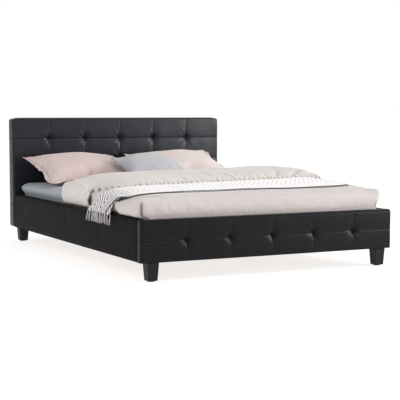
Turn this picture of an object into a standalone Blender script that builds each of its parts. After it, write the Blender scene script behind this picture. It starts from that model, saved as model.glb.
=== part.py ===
"""Upholstered low bed with its slatted base, mattress and bedding.

Metres, +Z up. The origin is on the floor at the middle of the bed. The foot of the bed
is at -Y, the headboard at +Y, and +X is on the right when seen from the foot.
"""

import math

import bmesh
import bpy
from mathutils import Matrix, Vector

# ---------------------------------------------------------------- driving dimensions
BED_WIDTH = 1.520
INNER_LENGTH = 2.020
HEADBOARD_DEPTH = 0.080
FOOTBOARD_DEPTH = 0.055
HEADBOARD_TOP = 0.815
RAIL_TOP = 0.313
SKIRT_BOTTOM = 0.097
RAIL_DEPTH = 0.045
RAIL_INSET = 0.005
GAP = 0.0003

COVER_WALL = 0.0015
COVER_RADIUS = 0.013
BOARD_BOTTOM = SKIRT_BOTTOM + 0.0015

SLAT_COUNT = 12
SLAT_SIZE = (1.396, 0.060, 0.012)
SLAT_PITCH = 0.163
LEDGER_SECTION = (0.028, 0.035)
LEDGER_TOP = 0.185
BEAM_SECTION = (0.040, 0.045)

BOLT_RADIUS = 0.004
HOLE_RADIUS = 0.0045
BOLT_HEIGHT = 0.135
BRACKET_SIZE = (0.050, 0.080)
BRACKET_WALL = 0.003
BRACKET_BOTTOM = 0.102

LEG_TOP_SIDE = 0.064
LEG_FOOT_SIDE = 0.052
LEG_X = 0.690
FOOT_LEG_Y = -1.043
HEAD_LEG_Y = 1.022
GLIDE_RADIUS = 0.019
GLIDE_HEIGHT = 0.004
STUD_TOP = 0.135

CENTRE_LEG_SIDE = 0.045
CENTRE_LEG_BOTTOM = 0.042
STEM_RADIUS = 0.005
STEM_BORE = 0.0056
STEM_BOTTOM = 0.0075
STEM_TOP = 0.085
PAD_HEIGHT = 0.012

MATTRESS_SIZE = (1.390, 1.980, 0.190)
MATTRESS_BOTTOM = 0.200
MATTRESS_Y = -0.005
DUVET_TOP = 0.424
FOLD_TOP = 0.498
FOLD_HEAD_Y = 0.230
FOLD_FREE_Y = -0.400
THROW_FOOT_Y = -0.735
THROW_THICKNESS = 0.006
FRINGE_BOTTOM = 0.250

# ---------------------------------------------------------------- derived places
HALF_LENGTH = (HEADBOARD_DEPTH + INNER_LENGTH + FOOTBOARD_DEPTH) / 2
FOOT_FACE = -HALF_LENGTH
FOOT_INNER = FOOT_FACE + FOOTBOARD_DEPTH
HEAD_BACK = HALF_LENGTH
HEAD_FACE = HEAD_BACK - HEADBOARD_DEPTH
RAIL_OUTER = BED_WIDTH / 2 - RAIL_INSET
RAIL_INNER = RAIL_OUTER - RAIL_DEPTH
MATTRESS_TOP = MATTRESS_BOTTOM + MATTRESS_SIZE[2]
MATTRESS_FOOT = MATTRESS_Y - MATTRESS_SIZE[1] / 2
SIDES = {"left": -1, "right": 1}


# ---------------------------------------------------------------- scene and materials
def clear_scene():
    for obj in list(bpy.data.objects):
        bpy.data.objects.remove(obj, do_unlink=True)


def collection_named(name):
    made = bpy.data.collections.new(name)
    bpy.context.scene.collection.children.link(made)
    return made


def finish_named(name, colour, roughness, metallic=0.0):
    material = bpy.data.materials.new(name)
    material.use_nodes = True
    shader = material.node_tree.nodes["Principled BSDF"]
    shader.inputs["Base Color"].default_value = (*colour, 1.0)
    shader.inputs["Roughness"].default_value = roughness
    shader.inputs["Metallic"].default_value = metallic
    return material


clear_scene()
BED = collection_named("upholstered_bed")
CUTTERS = collection_named("cutters")
BLACK_LEATHER = finish_named("black_faux_leather", (0.012, 0.012, 0.014), 0.45)
FOAM = finish_named("upholstery_foam", (0.75, 0.70, 0.52), 0.95)
PINE = finish_named("pine", (0.62, 0.42, 0.22), 0.6)
BOARD = finish_named("chipboard", (0.45, 0.32, 0.19), 0.75)
BLACK_WOOD = finish_named("black_stained_wood", (0.015, 0.013, 0.013), 0.5)
STEEL = finish_named("zinc_plated_steel", (0.55, 0.55, 0.53), 0.35, 1.0)
BLACK_STEEL = finish_named("black_powder_coat", (0.02, 0.02, 0.02), 0.5, 0.3)
BLACK_PLASTIC = finish_named("black_plastic", (0.02, 0.02, 0.02), 0.5)
DUST_CLOTH = finish_named("dust_cloth", (0.02, 0.02, 0.02), 0.95)
WEBBING = finish_named("webbing", (0.75, 0.73, 0.68), 0.9)
SHEET_BLUE = finish_named("grey_blue_sheet", (0.42, 0.46, 0.52), 0.9)
DUVET_CLOTH = finish_named("blush_cotton", (0.70, 0.62, 0.59), 0.9)
THROW_CLOTH = finish_named("grey_white_throw", (0.66, 0.63, 0.64), 0.95)
PINK_COTTON = finish_named("pink_cotton", (0.72, 0.58, 0.54), 0.9)
GREY_COTTON = finish_named("grey_cotton", (0.52, 0.52, 0.55), 0.9)


# ---------------------------------------------------------------- modelling tools
def move_to(obj, collection):
    for old in list(obj.users_collection):
        old.objects.unlink(obj)
    collection.objects.link(obj)


def object_from(mesh_builder, name, material, collection=None):
    mesh = bpy.data.meshes.new(name)
    mesh_builder.to_mesh(mesh)
    mesh_builder.free()
    obj = bpy.data.objects.new(name, mesh)
    (collection or BED).objects.link(obj)
    if material:
        mesh.materials.append(material)
    return obj


def box(name, low, high, material, collection=None):
    """A box between two corners, with its origin at its own centre."""
    low, high = Vector(low), Vector(high)
    builder = bmesh.new()
    bmesh.ops.create_cube(builder, size=1.0)
    bmesh.ops.scale(builder, vec=high - low, verts=builder.verts)
    obj = object_from(builder, name, material, collection)
    obj.location = (low + high) / 2
    return obj


def bevel(obj, width, segments=2, angle=0.6):
    modifier = obj.modifiers.new("rounded_edges", "BEVEL")
    modifier.width = width
    modifier.segments = segments
    modifier.limit_method = "ANGLE"
    modifier.angle_limit = angle
    return modifier


def hollow(obj, wall):
    modifier = obj.modifiers.new("wall", "SOLIDIFY")
    modifier.thickness = wall
    modifier.offset = -1.0


def cover(name, low, high, open_axis, open_sign, radius=COVER_RADIUS):
    """A sewn cover: a thin skin over five sides of a box, open on one side."""
    skin = box(name, low, high, BLACK_LEATHER)
    builder = bmesh.new()
    builder.from_mesh(skin.data)
    axis = Vector((0, 0, 0))
    axis["xyz".index(open_axis)] = open_sign
    builder.faces.ensure_lookup_table()
    bmesh.ops.recalc_face_normals(builder, faces=builder.faces)
    open_faces = [face for face in builder.faces if face.normal.dot(axis) > 0.9]
    bmesh.ops.delete(builder, geom=open_faces, context="FACES")
    builder.to_mesh(skin.data)
    builder.free()
    bevel(skin, radius, 3)
    hollow(skin, COVER_WALL)
    return skin


def foam_slab(name, low, high, radius=COVER_RADIUS):
    """A slab of foam rounded on its front face and its ends, and square at the back."""
    slab = box(name, low, high, FOAM)
    builder = bmesh.new()
    builder.from_mesh(slab.data)
    front_edges = [edge for edge in builder.edges if min(vert.co.y for vert in edge.verts) < 0]
    bmesh.ops.bevel(
        builder,
        geom=front_edges,
        offset=radius,
        offset_type="OFFSET",
        segments=3,
        profile=0.5,
        affect="EDGES",
        clamp_overlap=True,
    )
    builder.to_mesh(slab.data)
    builder.free()
    return slab


def cylinder(name, radius, low, high, axis, material, collection=None, sides=20):
    """A cylinder from the point low to the point high, which differ only along axis."""
    low, high = Vector(low), Vector(high)
    builder = bmesh.new()
    bmesh.ops.create_cone(
        builder,
        cap_ends=True,
        segments=sides,
        radius1=radius,
        radius2=radius,
        depth=(high - low).length,
    )
    if axis == "x":
        bmesh.ops.rotate(builder, matrix=Matrix.Rotation(math.pi / 2, 3, "Y"), verts=builder.verts)
    obj = object_from(builder, name, material, collection)
    obj.location = (low + high) / 2
    return obj


def boolean(obj, other, operation):
    modifier = obj.modifiers.new(operation.lower(), "BOOLEAN")
    modifier.operation = operation
    modifier.object = other


def cut(obj, *cutters):
    for cutter in cutters:
        boolean(obj, cutter, "DIFFERENCE")
        cutter.hide_render = True
        cutter.display_type = "WIRE"


def join(obj, other):
    move_to(other, CUTTERS)
    boolean(obj, other, "UNION")
    other.hide_render = True
    other.display_type = "WIRE"


# ---------------------------------------------------------------- corner bolts and leg studs
def bolt_hole(side, y):
    """The hole for a connecting bolt, along X through a bracket, a rail cover and its board."""
    sign = SIDES[side]
    return cylinder(
        "bolt_hole",
        HOLE_RADIUS,
        (sign * (RAIL_INNER - 0.008), y, BOLT_HEIGHT),
        (sign * (RAIL_OUTER - 0.006), y, BOLT_HEIGHT),
        "x",
        None,
        CUTTERS,
    )


def stud_hole(x, y):
    return cylinder(
        "stud_hole", HOLE_RADIUS, (x, y, SKIRT_BOTTOM - 0.01), (x, y, STUD_TOP + 0.003), "z", None, CUTTERS
    )


BOLT_Y = {"foot": FOOT_INNER + 0.030, "head": HEAD_FACE - 0.030}
LEG_Y = {"foot": FOOT_LEG_Y, "head": HEAD_LEG_Y}


# ---------------------------------------------------------------- headboard
def make_headboard():
    half = BED_WIDTH / 2
    skin = cover(
        "headboard_cover",
        (-half, HEAD_FACE, SKIRT_BOTTOM),
        (half, HEAD_BACK - 0.0015, HEADBOARD_TOP),
        "y",
        1,
    )
    inset = COVER_WALL + GAP
    low_z, high_z = BOARD_BOTTOM + 0.001, HEADBOARD_TOP - inset
    foam_back = HEAD_FACE + 0.0215
    foam_slab(
        "headboard_foam",
        (-half + inset, HEAD_FACE + inset, low_z),
        (half - inset, foam_back, high_z),
    )
    panel_back = foam_back + GAP + 0.012
    inner_half = half - 0.0078
    low_z += 0.0025
    top = high_z - 0.005
    box(
        "headboard_panel",
        (-inner_half, foam_back + GAP, low_z),
        (inner_half, panel_back, top),
        BOARD,
    )
    front, back = panel_back + GAP, HEAD_BACK - 0.0030
    stile, rail = 0.060, 0.060
    box("headboard_top_batten", (-inner_half, front, top - rail), (inner_half, back, top), PINE)
    bottom = box("headboard_bottom_batten", (-inner_half, front, low_z), (inner_half, back, low_z + rail), PINE)
    for sign in SIDES.values():
        hole = stud_hole(sign * LEG_X, HEAD_LEG_Y + 0.022)
        cut(bottom, hole)
        cut(skin, hole)
    low, high = low_z + rail + GAP, top - rail - GAP
    for name, centre in (
        ("left", -inner_half + stile / 2),
        ("centre", 0.0),
        ("right", inner_half - stile / 2),
    ):
        box(
            f"headboard_{name}_stile",
            (centre - stile / 2, front, low),
            (centre + stile / 2, back, high),
            PINE,
        )
    box(
        "headboard_back_cloth",
        (-inner_half + 0.004, HEAD_BACK - 0.0010, low_z + 0.004),
        (inner_half - 0.004, HEAD_BACK, top - 0.002),
        DUST_CLOTH,
    )


# ---------------------------------------------------------------- footboard
def make_footboard():
    half = BED_WIDTH / 2
    cover(
        "footboard_cover",
        (-half, FOOT_FACE, SKIRT_BOTTOM),
        (half, FOOT_INNER - GAP, RAIL_TOP),
        "z",
        -1,
    )
    inset = COVER_WALL + GAP
    foam_back = FOOT_FACE + 0.020
    foam_slab(
        "footboard_foam",
        (-half + inset, FOOT_FACE + inset, BOARD_BOTTOM),
        (half - inset, foam_back, RAIL_TOP - inset),
    )
    board = box(
        "footboard_board",
        (-half + COVER_RADIUS, foam_back + GAP, BOARD_BOTTOM),
        (half - COVER_RADIUS, FOOT_INNER - GAP - COVER_WALL - GAP, RAIL_TOP - inset),
        PINE,
    )
    bevel(board, 0.012, 3)
    for sign in SIDES.values():
        cut(board, stud_hole(sign * LEG_X, FOOT_LEG_Y))


# ---------------------------------------------------------------- side rails
def make_side_rail(side):
    sign = SIDES[side]
    foot, head = FOOT_INNER, HEAD_FACE - GAP
    outer, inner = sign * RAIL_OUTER, sign * RAIL_INNER
    skin = cover(
        f"{side}_rail_cover",
        (min(outer, inner), foot, SKIRT_BOTTOM),
        (max(outer, inner), head, RAIL_TOP),
        "z",
        -1,
        radius=0.010,
    )
    inset = COVER_WALL + GAP
    outer, inner = sign * (RAIL_OUTER - inset), sign * (RAIL_INNER + inset)
    board = box(
        f"{side}_rail_board",
        (min(outer, inner), foot + inset, BOARD_BOTTOM),
        (max(outer, inner), head - inset, RAIL_TOP - inset),
        PINE,
    )
    bevel(board, 0.009, 2)
    for y in BOLT_Y.values():
        hole = bolt_hole(side, y)
        cut(skin, hole)
        cut(board, hole)
    ledger_outer = sign * (RAIL_INNER - GAP)
    ledger_inner = sign * (RAIL_INNER - GAP - LEDGER_SECTION[0])
    box(
        f"{side}_ledger",
        (min(ledger_outer, ledger_inner), BOLT_Y["foot"] + 0.035, LEDGER_TOP - LEDGER_SECTION[1]),
        (max(ledger_outer, ledger_inner), BOLT_Y["head"] - 0.035, LEDGER_TOP),
        PINE,
    )


# ---------------------------------------------------------------- corner brackets and bolts
def make_corner(end, side):
    """An angle bracket in one inner corner, with the bolt that draws the rail to it."""
    sign = SIDES[side]
    towards = 1 if end == "foot" else -1
    wall_y = FOOT_INNER if end == "foot" else HEAD_FACE
    flange, height = BRACKET_SIZE
    corner = Vector((sign * (RAIL_INNER - GAP), wall_y + towards * GAP, BRACKET_BOTTOM))
    plate_along_rail = (
        corner,
        corner + Vector((-sign * BRACKET_WALL, towards * flange, height)),
    )
    plate_along_board = (
        corner + Vector((0, 0, 0)),
        corner + Vector((-sign * flange, towards * BRACKET_WALL, height)),
    )

    def plate(name, corners, collection=None):
        low = [min(pair) for pair in zip(*corners)]
        high = [max(pair) for pair in zip(*corners)]
        return box(name, low, high, BLACK_STEEL, collection)

    bracket = plate(f"corner_bracket_{end}_{side}", plate_along_rail)
    join(bracket, plate("bracket_return", plate_along_board))
    y = BOLT_Y[end]
    cut(bracket, bolt_hole(side, y))
    head_face = RAIL_INNER - GAP - BRACKET_WALL - GAP
    bolt = cylinder(
        f"rail_bolt_{end}_{side}",
        0.0068,
        (sign * (head_face - 0.0052), y, BOLT_HEIGHT),
        (sign * head_face, y, BOLT_HEIGHT),
        "x",
        STEEL,
        sides=6,
    )
    shank = cylinder(
        "bolt_shank",
        BOLT_RADIUS,
        (sign * (head_face - 0.002), y, BOLT_HEIGHT),
        (sign * (RAIL_OUTER - 0.009), y, BOLT_HEIGHT),
        "x",
        STEEL,
        CUTTERS,
        sides=16,
    )
    join(bolt, shank)


# ---------------------------------------------------------------- legs
def tapered_leg(name, x, y, low_z, high_z, low_side, high_side, material):
    builder = bmesh.new()
    bmesh.ops.create_cone(
        builder,
        cap_ends=True,
        segments=4,
        radius1=low_side / math.sqrt(2),
        radius2=high_side / math.sqrt(2),
        depth=high_z - low_z,
    )
    bmesh.ops.rotate(builder, matrix=Matrix.Rotation(math.pi / 4, 3, "Z"), verts=builder.verts)
    leg = object_from(builder, name, material)
    leg.location = (x, y, (low_z + high_z) / 2)
    bevel(leg, 0.002, 1)
    return leg


def make_corner_leg(end, side):
    x, y = SIDES[side] * LEG_X, LEG_Y[end]
    foot_z = GLIDE_HEIGHT + GAP
    leg = tapered_leg(
        f"leg_{end}_{side}", x, y, foot_z, SKIRT_BOTTOM - GAP, LEG_FOOT_SIDE, LEG_TOP_SIDE, BLACK_WOOD
    )
    stud_y = y + 0.022 if end == "head" else y
    stud = cylinder(
        "leg_stud",
        BOLT_RADIUS,
        (x, stud_y, SKIRT_BOTTOM - 0.02),
        (x, stud_y, STUD_TOP),
        "z",
        STEEL,
        CUTTERS,
        sides=16,
    )
    join(leg, stud)
    glide = cylinder(f"glide_{end}_{side}", GLIDE_RADIUS, (x, y, 0), (x, y, GLIDE_HEIGHT), "z", BLACK_PLASTIC)
    bevel(glide, 0.001, 1)


# ---------------------------------------------------------------- centre beam and levelling foot
def make_beam_hanger(end):
    """A folded steel stirrup on the inner face, which the beam's end drops into."""
    towards = 1 if end == "foot" else -1
    wall_y = (FOOT_INNER if end == "foot" else HEAD_FACE) + towards * GAP
    width, height = BEAM_SECTION
    thickness = 0.0025
    reach = 0.040
    low = Vector((-width / 2 - GAP, wall_y + towards * thickness, LEDGER_TOP - height - GAP))
    high = Vector((width / 2 + GAP, wall_y + towards * reach, LEDGER_TOP - 0.006))
    hanger = box(
        f"beam_hanger_{end}",
        (low.x, min(low.y, high.y), low.z),
        (high.x, max(low.y, high.y), high.z),
        BLACK_STEEL,
    )
    builder = bmesh.new()
    builder.from_mesh(hanger.data)
    bmesh.ops.recalc_face_normals(builder, faces=builder.faces)
    open_faces = [
        face for face in builder.faces if face.normal.z > 0.9 or face.normal.y * towards > 0.9
    ]
    bmesh.ops.delete(builder, geom=open_faces, context="FACES")
    builder.to_mesh(hanger.data)
    builder.free()
    modifier = hanger.modifiers.new("wall", "SOLIDIFY")
    modifier.thickness = thickness
    modifier.offset = 1.0
    modifier.use_even_offset = True


def make_centre_support():
    width, height = BEAM_SECTION
    clear = 0.0025 + 3 * GAP
    box(
        "centre_beam",
        (-width / 2, FOOT_INNER + clear, LEDGER_TOP - height),
        (width / 2, HEAD_FACE - clear, LEDGER_TOP),
        PINE,
    )
    for end in ("foot", "head"):
        make_beam_hanger(end)
    beam_bottom = LEDGER_TOP - height
    leg = tapered_leg(
        "centre_leg",
        0.0,
        0.0,
        CENTRE_LEG_BOTTOM,
        beam_bottom - GAP,
        CENTRE_LEG_SIDE,
        CENTRE_LEG_SIDE,
        BLACK_WOOD,
    )
    bore = cylinder(
        "stem_bore", STEM_BORE, (0, 0, CENTRE_LEG_BOTTOM - 0.01), (0, 0, 0.112), "z", None, CUTTERS, sides=24
    )
    cut(leg, bore)
    stem = cylinder(
        "levelling_stem", STEM_RADIUS, (0, 0, STEM_BOTTOM), (0, 0, STEM_TOP), "z", STEEL, sides=24
    )
    nut = cylinder("stem_hexagon", 0.0095, (0, 0, 0.0195), (0, 0, 0.026), "z", STEEL, CUTTERS, sides=6)
    join(stem, nut)
    pad = cylinder("levelling_pad", 0.0225, (0, 0, 0), (0, 0, PAD_HEIGHT), "z", BLACK_PLASTIC, sides=32)
    bevel(pad, 0.002, 2)
    socket = cylinder(
        "pad_socket", STEM_BORE, (0, 0, STEM_BOTTOM - GAP), (0, 0, PAD_HEIGHT + 0.01), "z", None, CUTTERS, sides=24
    )
    cut(pad, socket)


# ---------------------------------------------------------------- slatted base
def make_slats():
    width, depth, thickness = SLAT_SIZE
    low_z = LEDGER_TOP + GAP
    middle = (FOOT_INNER + HEAD_FACE) / 2
    first = middle - SLAT_PITCH * (SLAT_COUNT - 1) / 2
    for index in range(SLAT_COUNT):
        y = first + index * SLAT_PITCH
        slat = box(
            f"slat_{index + 1:02d}",
            (-width / 2, y - depth / 2, low_z),
            (width / 2, y + depth / 2, low_z + thickness),
            PINE,
        )
        bevel(slat, 0.0015, 1)
    tape_bottom = low_z + thickness + GAP
    for side, sign in SIDES.items():
        centre = sign * 0.48
        box(
            f"slat_tape_{side}",
            (centre - 0.010, first - depth / 2, tape_bottom),
            (centre + 0.010, first + (SLAT_COUNT - 1) * SLAT_PITCH + depth / 2, tape_bottom + 0.001),
            WEBBING,
        )


# ---------------------------------------------------------------- mattress and bedding
def make_mattress():
    width, length, height = MATTRESS_SIZE
    mattress = box(
        "mattress",
        (-width / 2, MATTRESS_Y - length / 2, MATTRESS_BOTTOM),
        (width / 2, MATTRESS_Y + length / 2, MATTRESS_TOP),
        SHEET_BLUE,
    )
    bevel(mattress, 0.028, 3)


def make_duvet():
    """The duvet's outer shape: the top, its turned-back fold, and the three tucked sides."""
    half = MATTRESS_SIZE[0] / 2 + 0.0006
    outer = RAIL_INNER - 0.0006
    low_z = MATTRESS_TOP + 0.0008
    foot = FOOT_INNER + 0.0010
    top_half = RAIL_INNER + 0.010
    duvet = box("duvet", (-top_half, foot, low_z), (top_half, FOLD_HEAD_Y, DUVET_TOP), DUVET_CLOTH)
    bevel(duvet, 0.014, 2)
    fold = box(
        "duvet_fold",
        (-top_half + 0.002, FOLD_FREE_Y, low_z + 0.010),
        (top_half - 0.002, FOLD_HEAD_Y - 0.002, FOLD_TOP),
        DUVET_CLOTH,
    )
    bevel(fold, 0.028, 3)
    join(duvet, fold)
    tuck_bottom = MATTRESS_BOTTOM + 0.030
    overlap = low_z + 0.015
    for sign in SIDES.values():
        ends = (sign * half, sign * outer)
        join(
            duvet,
            box(
                "duvet_side_tuck",
                (min(ends), foot + 0.001, tuck_bottom),
                (max(ends), FOLD_HEAD_Y - 0.020, overlap),
                DUVET_CLOTH,
            ),
        )
    join(
        duvet,
        box(
            "duvet_foot_tuck",
            (-outer + 0.0005, foot + 0.002, tuck_bottom + 0.001),
            (outer - 0.0005, MATTRESS_FOOT - 0.0006, overlap - 0.001),
            DUVET_CLOTH,
        ),
    )


def make_throw():
    """A folded blanket laid across the bed beside the fold, with both ends over the rails."""
    head_y = FOLD_FREE_Y - 0.002
    top_half = RAIL_INNER + 0.010
    route = [
        (RAIL_OUTER + 0.022, FRINGE_BOTTOM),
        (RAIL_OUTER + 0.015, RAIL_TOP - 0.010),
        (RAIL_OUTER + 0.007, RAIL_TOP + 0.013),
        (top_half + 0.022, RAIL_TOP + 0.042),
        (top_half + 0.013, DUVET_TOP - 0.012),
        (top_half - 0.004, DUVET_TOP + 0.010),
        (0.30, DUVET_TOP + 0.008),
    ]
    builder = bmesh.new()
    points = [(-x, z) for x, z in route] + [(x, z) for x, z in reversed(route)]
    line = [builder.verts.new((x, head_y, z)) for x, z in points]
    edges = [builder.edges.new(pair) for pair in zip(line, line[1:])]
    swept = bmesh.ops.extrude_edge_only(builder, edges=edges)
    moved = [item for item in swept["geom"] if isinstance(item, bmesh.types.BMVert)]
    bmesh.ops.translate(builder, vec=(0, THROW_FOOT_Y - head_y, 0), verts=moved)
    bmesh.ops.recalc_face_normals(builder, faces=builder.faces)
    throw = object_from(builder, "throw", THROW_CLOTH)
    modifier = throw.modifiers.new("thickness", "SOLIDIFY")
    modifier.thickness = THROW_THICKNESS
    modifier.offset = 0.0
    modifier.use_even_offset = True


def pillow(name, size, centre, tilt_deg, turn_deg, material):
    """A stuffed cushion: a box cage thinned to its rim, smoothed by subdivision."""
    builder = bmesh.new()
    bmesh.ops.create_cube(builder, size=2.0)
    bmesh.ops.subdivide_edges(builder, edges=builder.edges, cuts=2, use_grid_fill=True)
    for vert in builder.verts:
        rim = max(abs(vert.co.x), abs(vert.co.y))
        corner = min(abs(vert.co.x), abs(vert.co.y))
        if rim > 0.99:
            vert.co.z *= 0.22 if corner < 0.99 else 0.10
        pull = 1.0 - 0.06 * (1.0 - corner) if rim > 0.99 else 1.0
        vert.co.x *= pull * size[0] / 2
        vert.co.y *= pull * size[1] / 2
        vert.co.z *= size[2] / 2
    obj = object_from(builder, name, material)
    smooth = obj.modifiers.new("soft", "SUBSURF")
    smooth.levels = 1
    smooth.render_levels = 1
    obj.location = centre
    obj.rotation_euler = (math.radians(tilt_deg), 0.0, math.radians(turn_deg))
    obj.data.shade_smooth()
    return obj


def make_pillows():
    pillow("pillow_left", (0.66, 0.50, 0.170), (-0.395, 0.705, 0.488), 17, 3, PINK_COTTON)
    pillow("pillow_right", (0.64, 0.50, 0.165), (0.335, 0.725, 0.492), 20, 0, PINK_COTTON)
    pillow("cushion", (0.50, 0.42, 0.120), (0.000, 0.470, 0.520), 20, 0, GREY_COTTON)


make_headboard()
make_footboard()
for rail_side in SIDES:
    make_side_rail(rail_side)
for board_end in ("foot", "head"):
    for rail_side in SIDES:
        make_corner(board_end, rail_side)
        make_corner_leg(board_end, rail_side)
make_centre_support()
make_slats()
make_mattress()
make_duvet()
make_throw()
make_pillows()
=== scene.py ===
import math

import bmesh
import bpy
import numpy as np
from mathutils import Matrix, Vector, noise
from mathutils.bvhtree import BVHTree


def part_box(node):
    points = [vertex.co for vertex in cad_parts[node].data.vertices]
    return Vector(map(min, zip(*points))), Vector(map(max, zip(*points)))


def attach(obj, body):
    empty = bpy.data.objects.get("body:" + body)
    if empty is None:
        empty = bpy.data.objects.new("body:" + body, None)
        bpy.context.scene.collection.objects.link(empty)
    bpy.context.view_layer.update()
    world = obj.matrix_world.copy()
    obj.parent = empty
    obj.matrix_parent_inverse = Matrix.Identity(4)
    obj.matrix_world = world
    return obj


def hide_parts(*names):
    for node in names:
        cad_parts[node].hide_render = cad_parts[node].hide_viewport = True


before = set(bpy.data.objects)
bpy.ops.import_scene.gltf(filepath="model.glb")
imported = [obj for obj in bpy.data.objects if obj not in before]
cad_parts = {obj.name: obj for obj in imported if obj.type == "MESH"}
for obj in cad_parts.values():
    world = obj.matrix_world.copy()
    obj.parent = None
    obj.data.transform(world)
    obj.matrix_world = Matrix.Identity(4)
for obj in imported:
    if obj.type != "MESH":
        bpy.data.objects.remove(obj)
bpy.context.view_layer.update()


# ---------------- headboard cover
# A skin of black faux leather sewn in squares over foam. It is pulled in at every crossing
# of its seams, wrapped round the panel's edges and stapled out of sight behind.

HEAD_LOW, HEAD_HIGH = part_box("headboard_cover")
SEAM_PITCH_X = (HEAD_HIGH.x - HEAD_LOW.x) / 6
SEAM_PITCH_Z = 0.144
FIRST_SEAM_DROP = 0.138
WRAP_RADIUS = 0.014
SKIN_WALL = 0.0012
SQUARE_COLUMNS = [column * SEAM_PITCH_X for column in range(-2, 3)]


def linear(hex_colour):
    """An sRGB hex colour as the linear RGBA that a shader socket takes."""
    channels = [int(hex_colour[i : i + 2], 16) / 255 for i in (1, 3, 5)]
    return (*[c / 12.92 if c <= 0.04045 else ((c + 0.055) / 1.055) ** 2.4 for c in channels], 1.0)


def add_node(material, kind, settings=None, out=0, **inputs):
    """Adds a shader node and gives its output of that number or name.

    An input is called by its name, or by its number as _0, and is a value or another output.
    """
    tree = material.node_tree
    made = tree.nodes.new("ShaderNode" + kind)
    for name, value in (settings or {}).items():
        setattr(made, name, value)
    for name, value in inputs.items():
        socket = made.inputs[int(name[1:])] if name[1:].isdigit() else made.inputs[name.replace("_", " ")]
        if isinstance(value, bpy.types.NodeSocket):
            tree.links.new(value, socket)
        else:
            socket.default_value = value
    return made.outputs[out]


def new_material(name, **shader_values):
    """A material with only a Principled shader, whose sockets take the given values."""
    material = bpy.data.materials.new(name)
    material.use_nodes = True
    shader = material.node_tree.nodes["Principled BSDF"]
    for socket, value in shader_values.items():
        shader.inputs[socket.replace("_", " ")].default_value = value
    return material


def feed(material, **sockets):
    """Links sockets into the material's Principled shader."""
    shader = material.node_tree.nodes["Principled BSDF"]
    for name, socket in sockets.items():
        material.node_tree.links.new(socket, shader.inputs[name.replace("_", " ")])


COLOURS = {"data_type": "RGBA"}
COLOUR_OUT = 2
LEATHER_GRAIN = 0.0024


def faux_leather(name, colour, highlight, gloss, lacquer):
    """Polyurethane on a knit backing, embossed with a fine pebble grain and lightly lacquered.

    The grain of the real skin is about 1 mm across. It is drawn at 2.4 mm so that it shows.
    """
    skin = new_material(
        name, Specular_IOR_Level=gloss, IOR=1.5, Coat_Weight=lacquer, Coat_Roughness=0.26, Coat_IOR=1.5
    )
    place = add_node(skin, "TexCoord", out="Object")
    pebbles = add_node(skin, "TexVoronoi", {"feature": "SMOOTH_F1"}, Vector=place, Scale=1 / LEATHER_GRAIN)
    creases = add_node(skin, "TexNoise", Vector=place, Scale=38.0, Detail=4.0, Roughness=0.6)
    clouds = add_node(skin, "TexNoise", Vector=place, Scale=4.5, Detail=3.0)
    tone = add_node(skin, "Mix", COLOURS, COLOUR_OUT, _0=clouds, _6=linear(colour), _7=linear(highlight))
    # Painted shade: the base colour darkens towards near-black in the tuft pits and along the seams, where
    # shade falls. The same mark roughens the skin there.
    painted_pit_shade = add_node(skin, "Attribute", {"attribute_name": "painted_pit_shade"}, "Fac")
    shaded = add_node(skin, "Mix", COLOURS, COLOUR_OUT, _0=painted_pit_shade, _6=tone, _7=linear("#040404"))
    worn = add_node(skin, "MapRange", Value=creases, From_Min=0.3, From_Max=0.7, To_Min=0.35, To_Max=0.48)
    rough = add_node(skin, "Math", {"operation": "MULTIPLY_ADD"}, _0=painted_pit_shade, _1=0.35, _2=worn)
    grain = add_node(skin, "Bump", Height=pebbles, Strength=0.16, Distance=0.0004)
    soft = add_node(skin, "Bump", Height=creases, Normal=grain, Strength=0.22, Distance=0.0012)
    feed(skin, Base_Color=shaded, Roughness=rough, Normal=soft)
    return skin


def piece_from(builder, name, material):
    """Ends a bmesh as an object at the origin, smooth, with one material."""
    mesh = bpy.data.meshes.new(name)
    builder.to_mesh(mesh)
    builder.free()
    mesh.shade_smooth()
    mesh.materials.append(material)
    piece = bpy.data.objects.new(name, mesh)
    bpy.context.scene.collection.objects.link(piece)
    return piece


def rounded_block(low, high, radius, steps, open_sides=(), segments=5):
    """A box with its edges rounded and its sides cut in a fine grid, left open where asked.

    steps is the grid's spacing along X, Y and Z. open_sides are (axis, sign) pairs.
    """
    low, high = Vector(low), Vector(high)
    builder = bmesh.new()
    bmesh.ops.create_cube(builder, size=1.0)
    bmesh.ops.scale(builder, vec=high - low, verts=builder.verts)
    bmesh.ops.translate(builder, vec=(low + high) / 2, verts=builder.verts)
    bmesh.ops.recalc_face_normals(builder, faces=builder.faces)
    gone = [f for f in builder.faces if any(f.normal[axis] * sign > 0.9 for axis, sign in open_sides)]
    bmesh.ops.delete(builder, geom=gone, context="FACES")
    bmesh.ops.bevel(
        builder,
        geom=[edge for edge in builder.edges if len(edge.link_faces) == 2],
        offset=radius,
        offset_type="OFFSET",
        segments=segments,
        profile=0.5,
        affect="EDGES",
        clamp_overlap=True,
        material=-1,
    )
    for axis, step in enumerate(steps):
        along = Vector((0, 0, 0))
        along[axis] = 1
        long_edges = [
            edge
            for edge in builder.edges
            if edge.calc_length() > 2 * step
            and abs((edge.verts[1].co - edge.verts[0].co).normalized().dot(along)) > 0.999
        ]
        if long_edges:
            length = max(edge.calc_length() for edge in long_edges)
            bmesh.ops.subdivide_edges(
                builder, edges=long_edges, cuts=max(1, round(length / step) - 1), use_grid_fill=True
            )
    return builder


def points_and_normals(builder):
    """The bmesh's points and their normals, as two arrays."""
    builder.normal_update()
    return np.array([v.co[:] for v in builder.verts]), np.array([v.normal[:] for v in builder.verts])


def mesh_points(piece):
    return np.array([v.co[:] for v in piece.data.vertices])


def mark(piece, name, values):
    """Stores a value at each point, for the piece's material to read."""
    layer = piece.data.attributes.new(name, "FLOAT", "POINT")
    layer.data.foreach_set("value", values)


def add_wall(piece, wall, offset=-1.0):
    """Gives a skin its thickness, inwards from its outer face."""
    solid = piece.modifiers.new("wall", "SOLIDIFY")
    solid.thickness = wall
    solid.offset = offset


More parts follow.
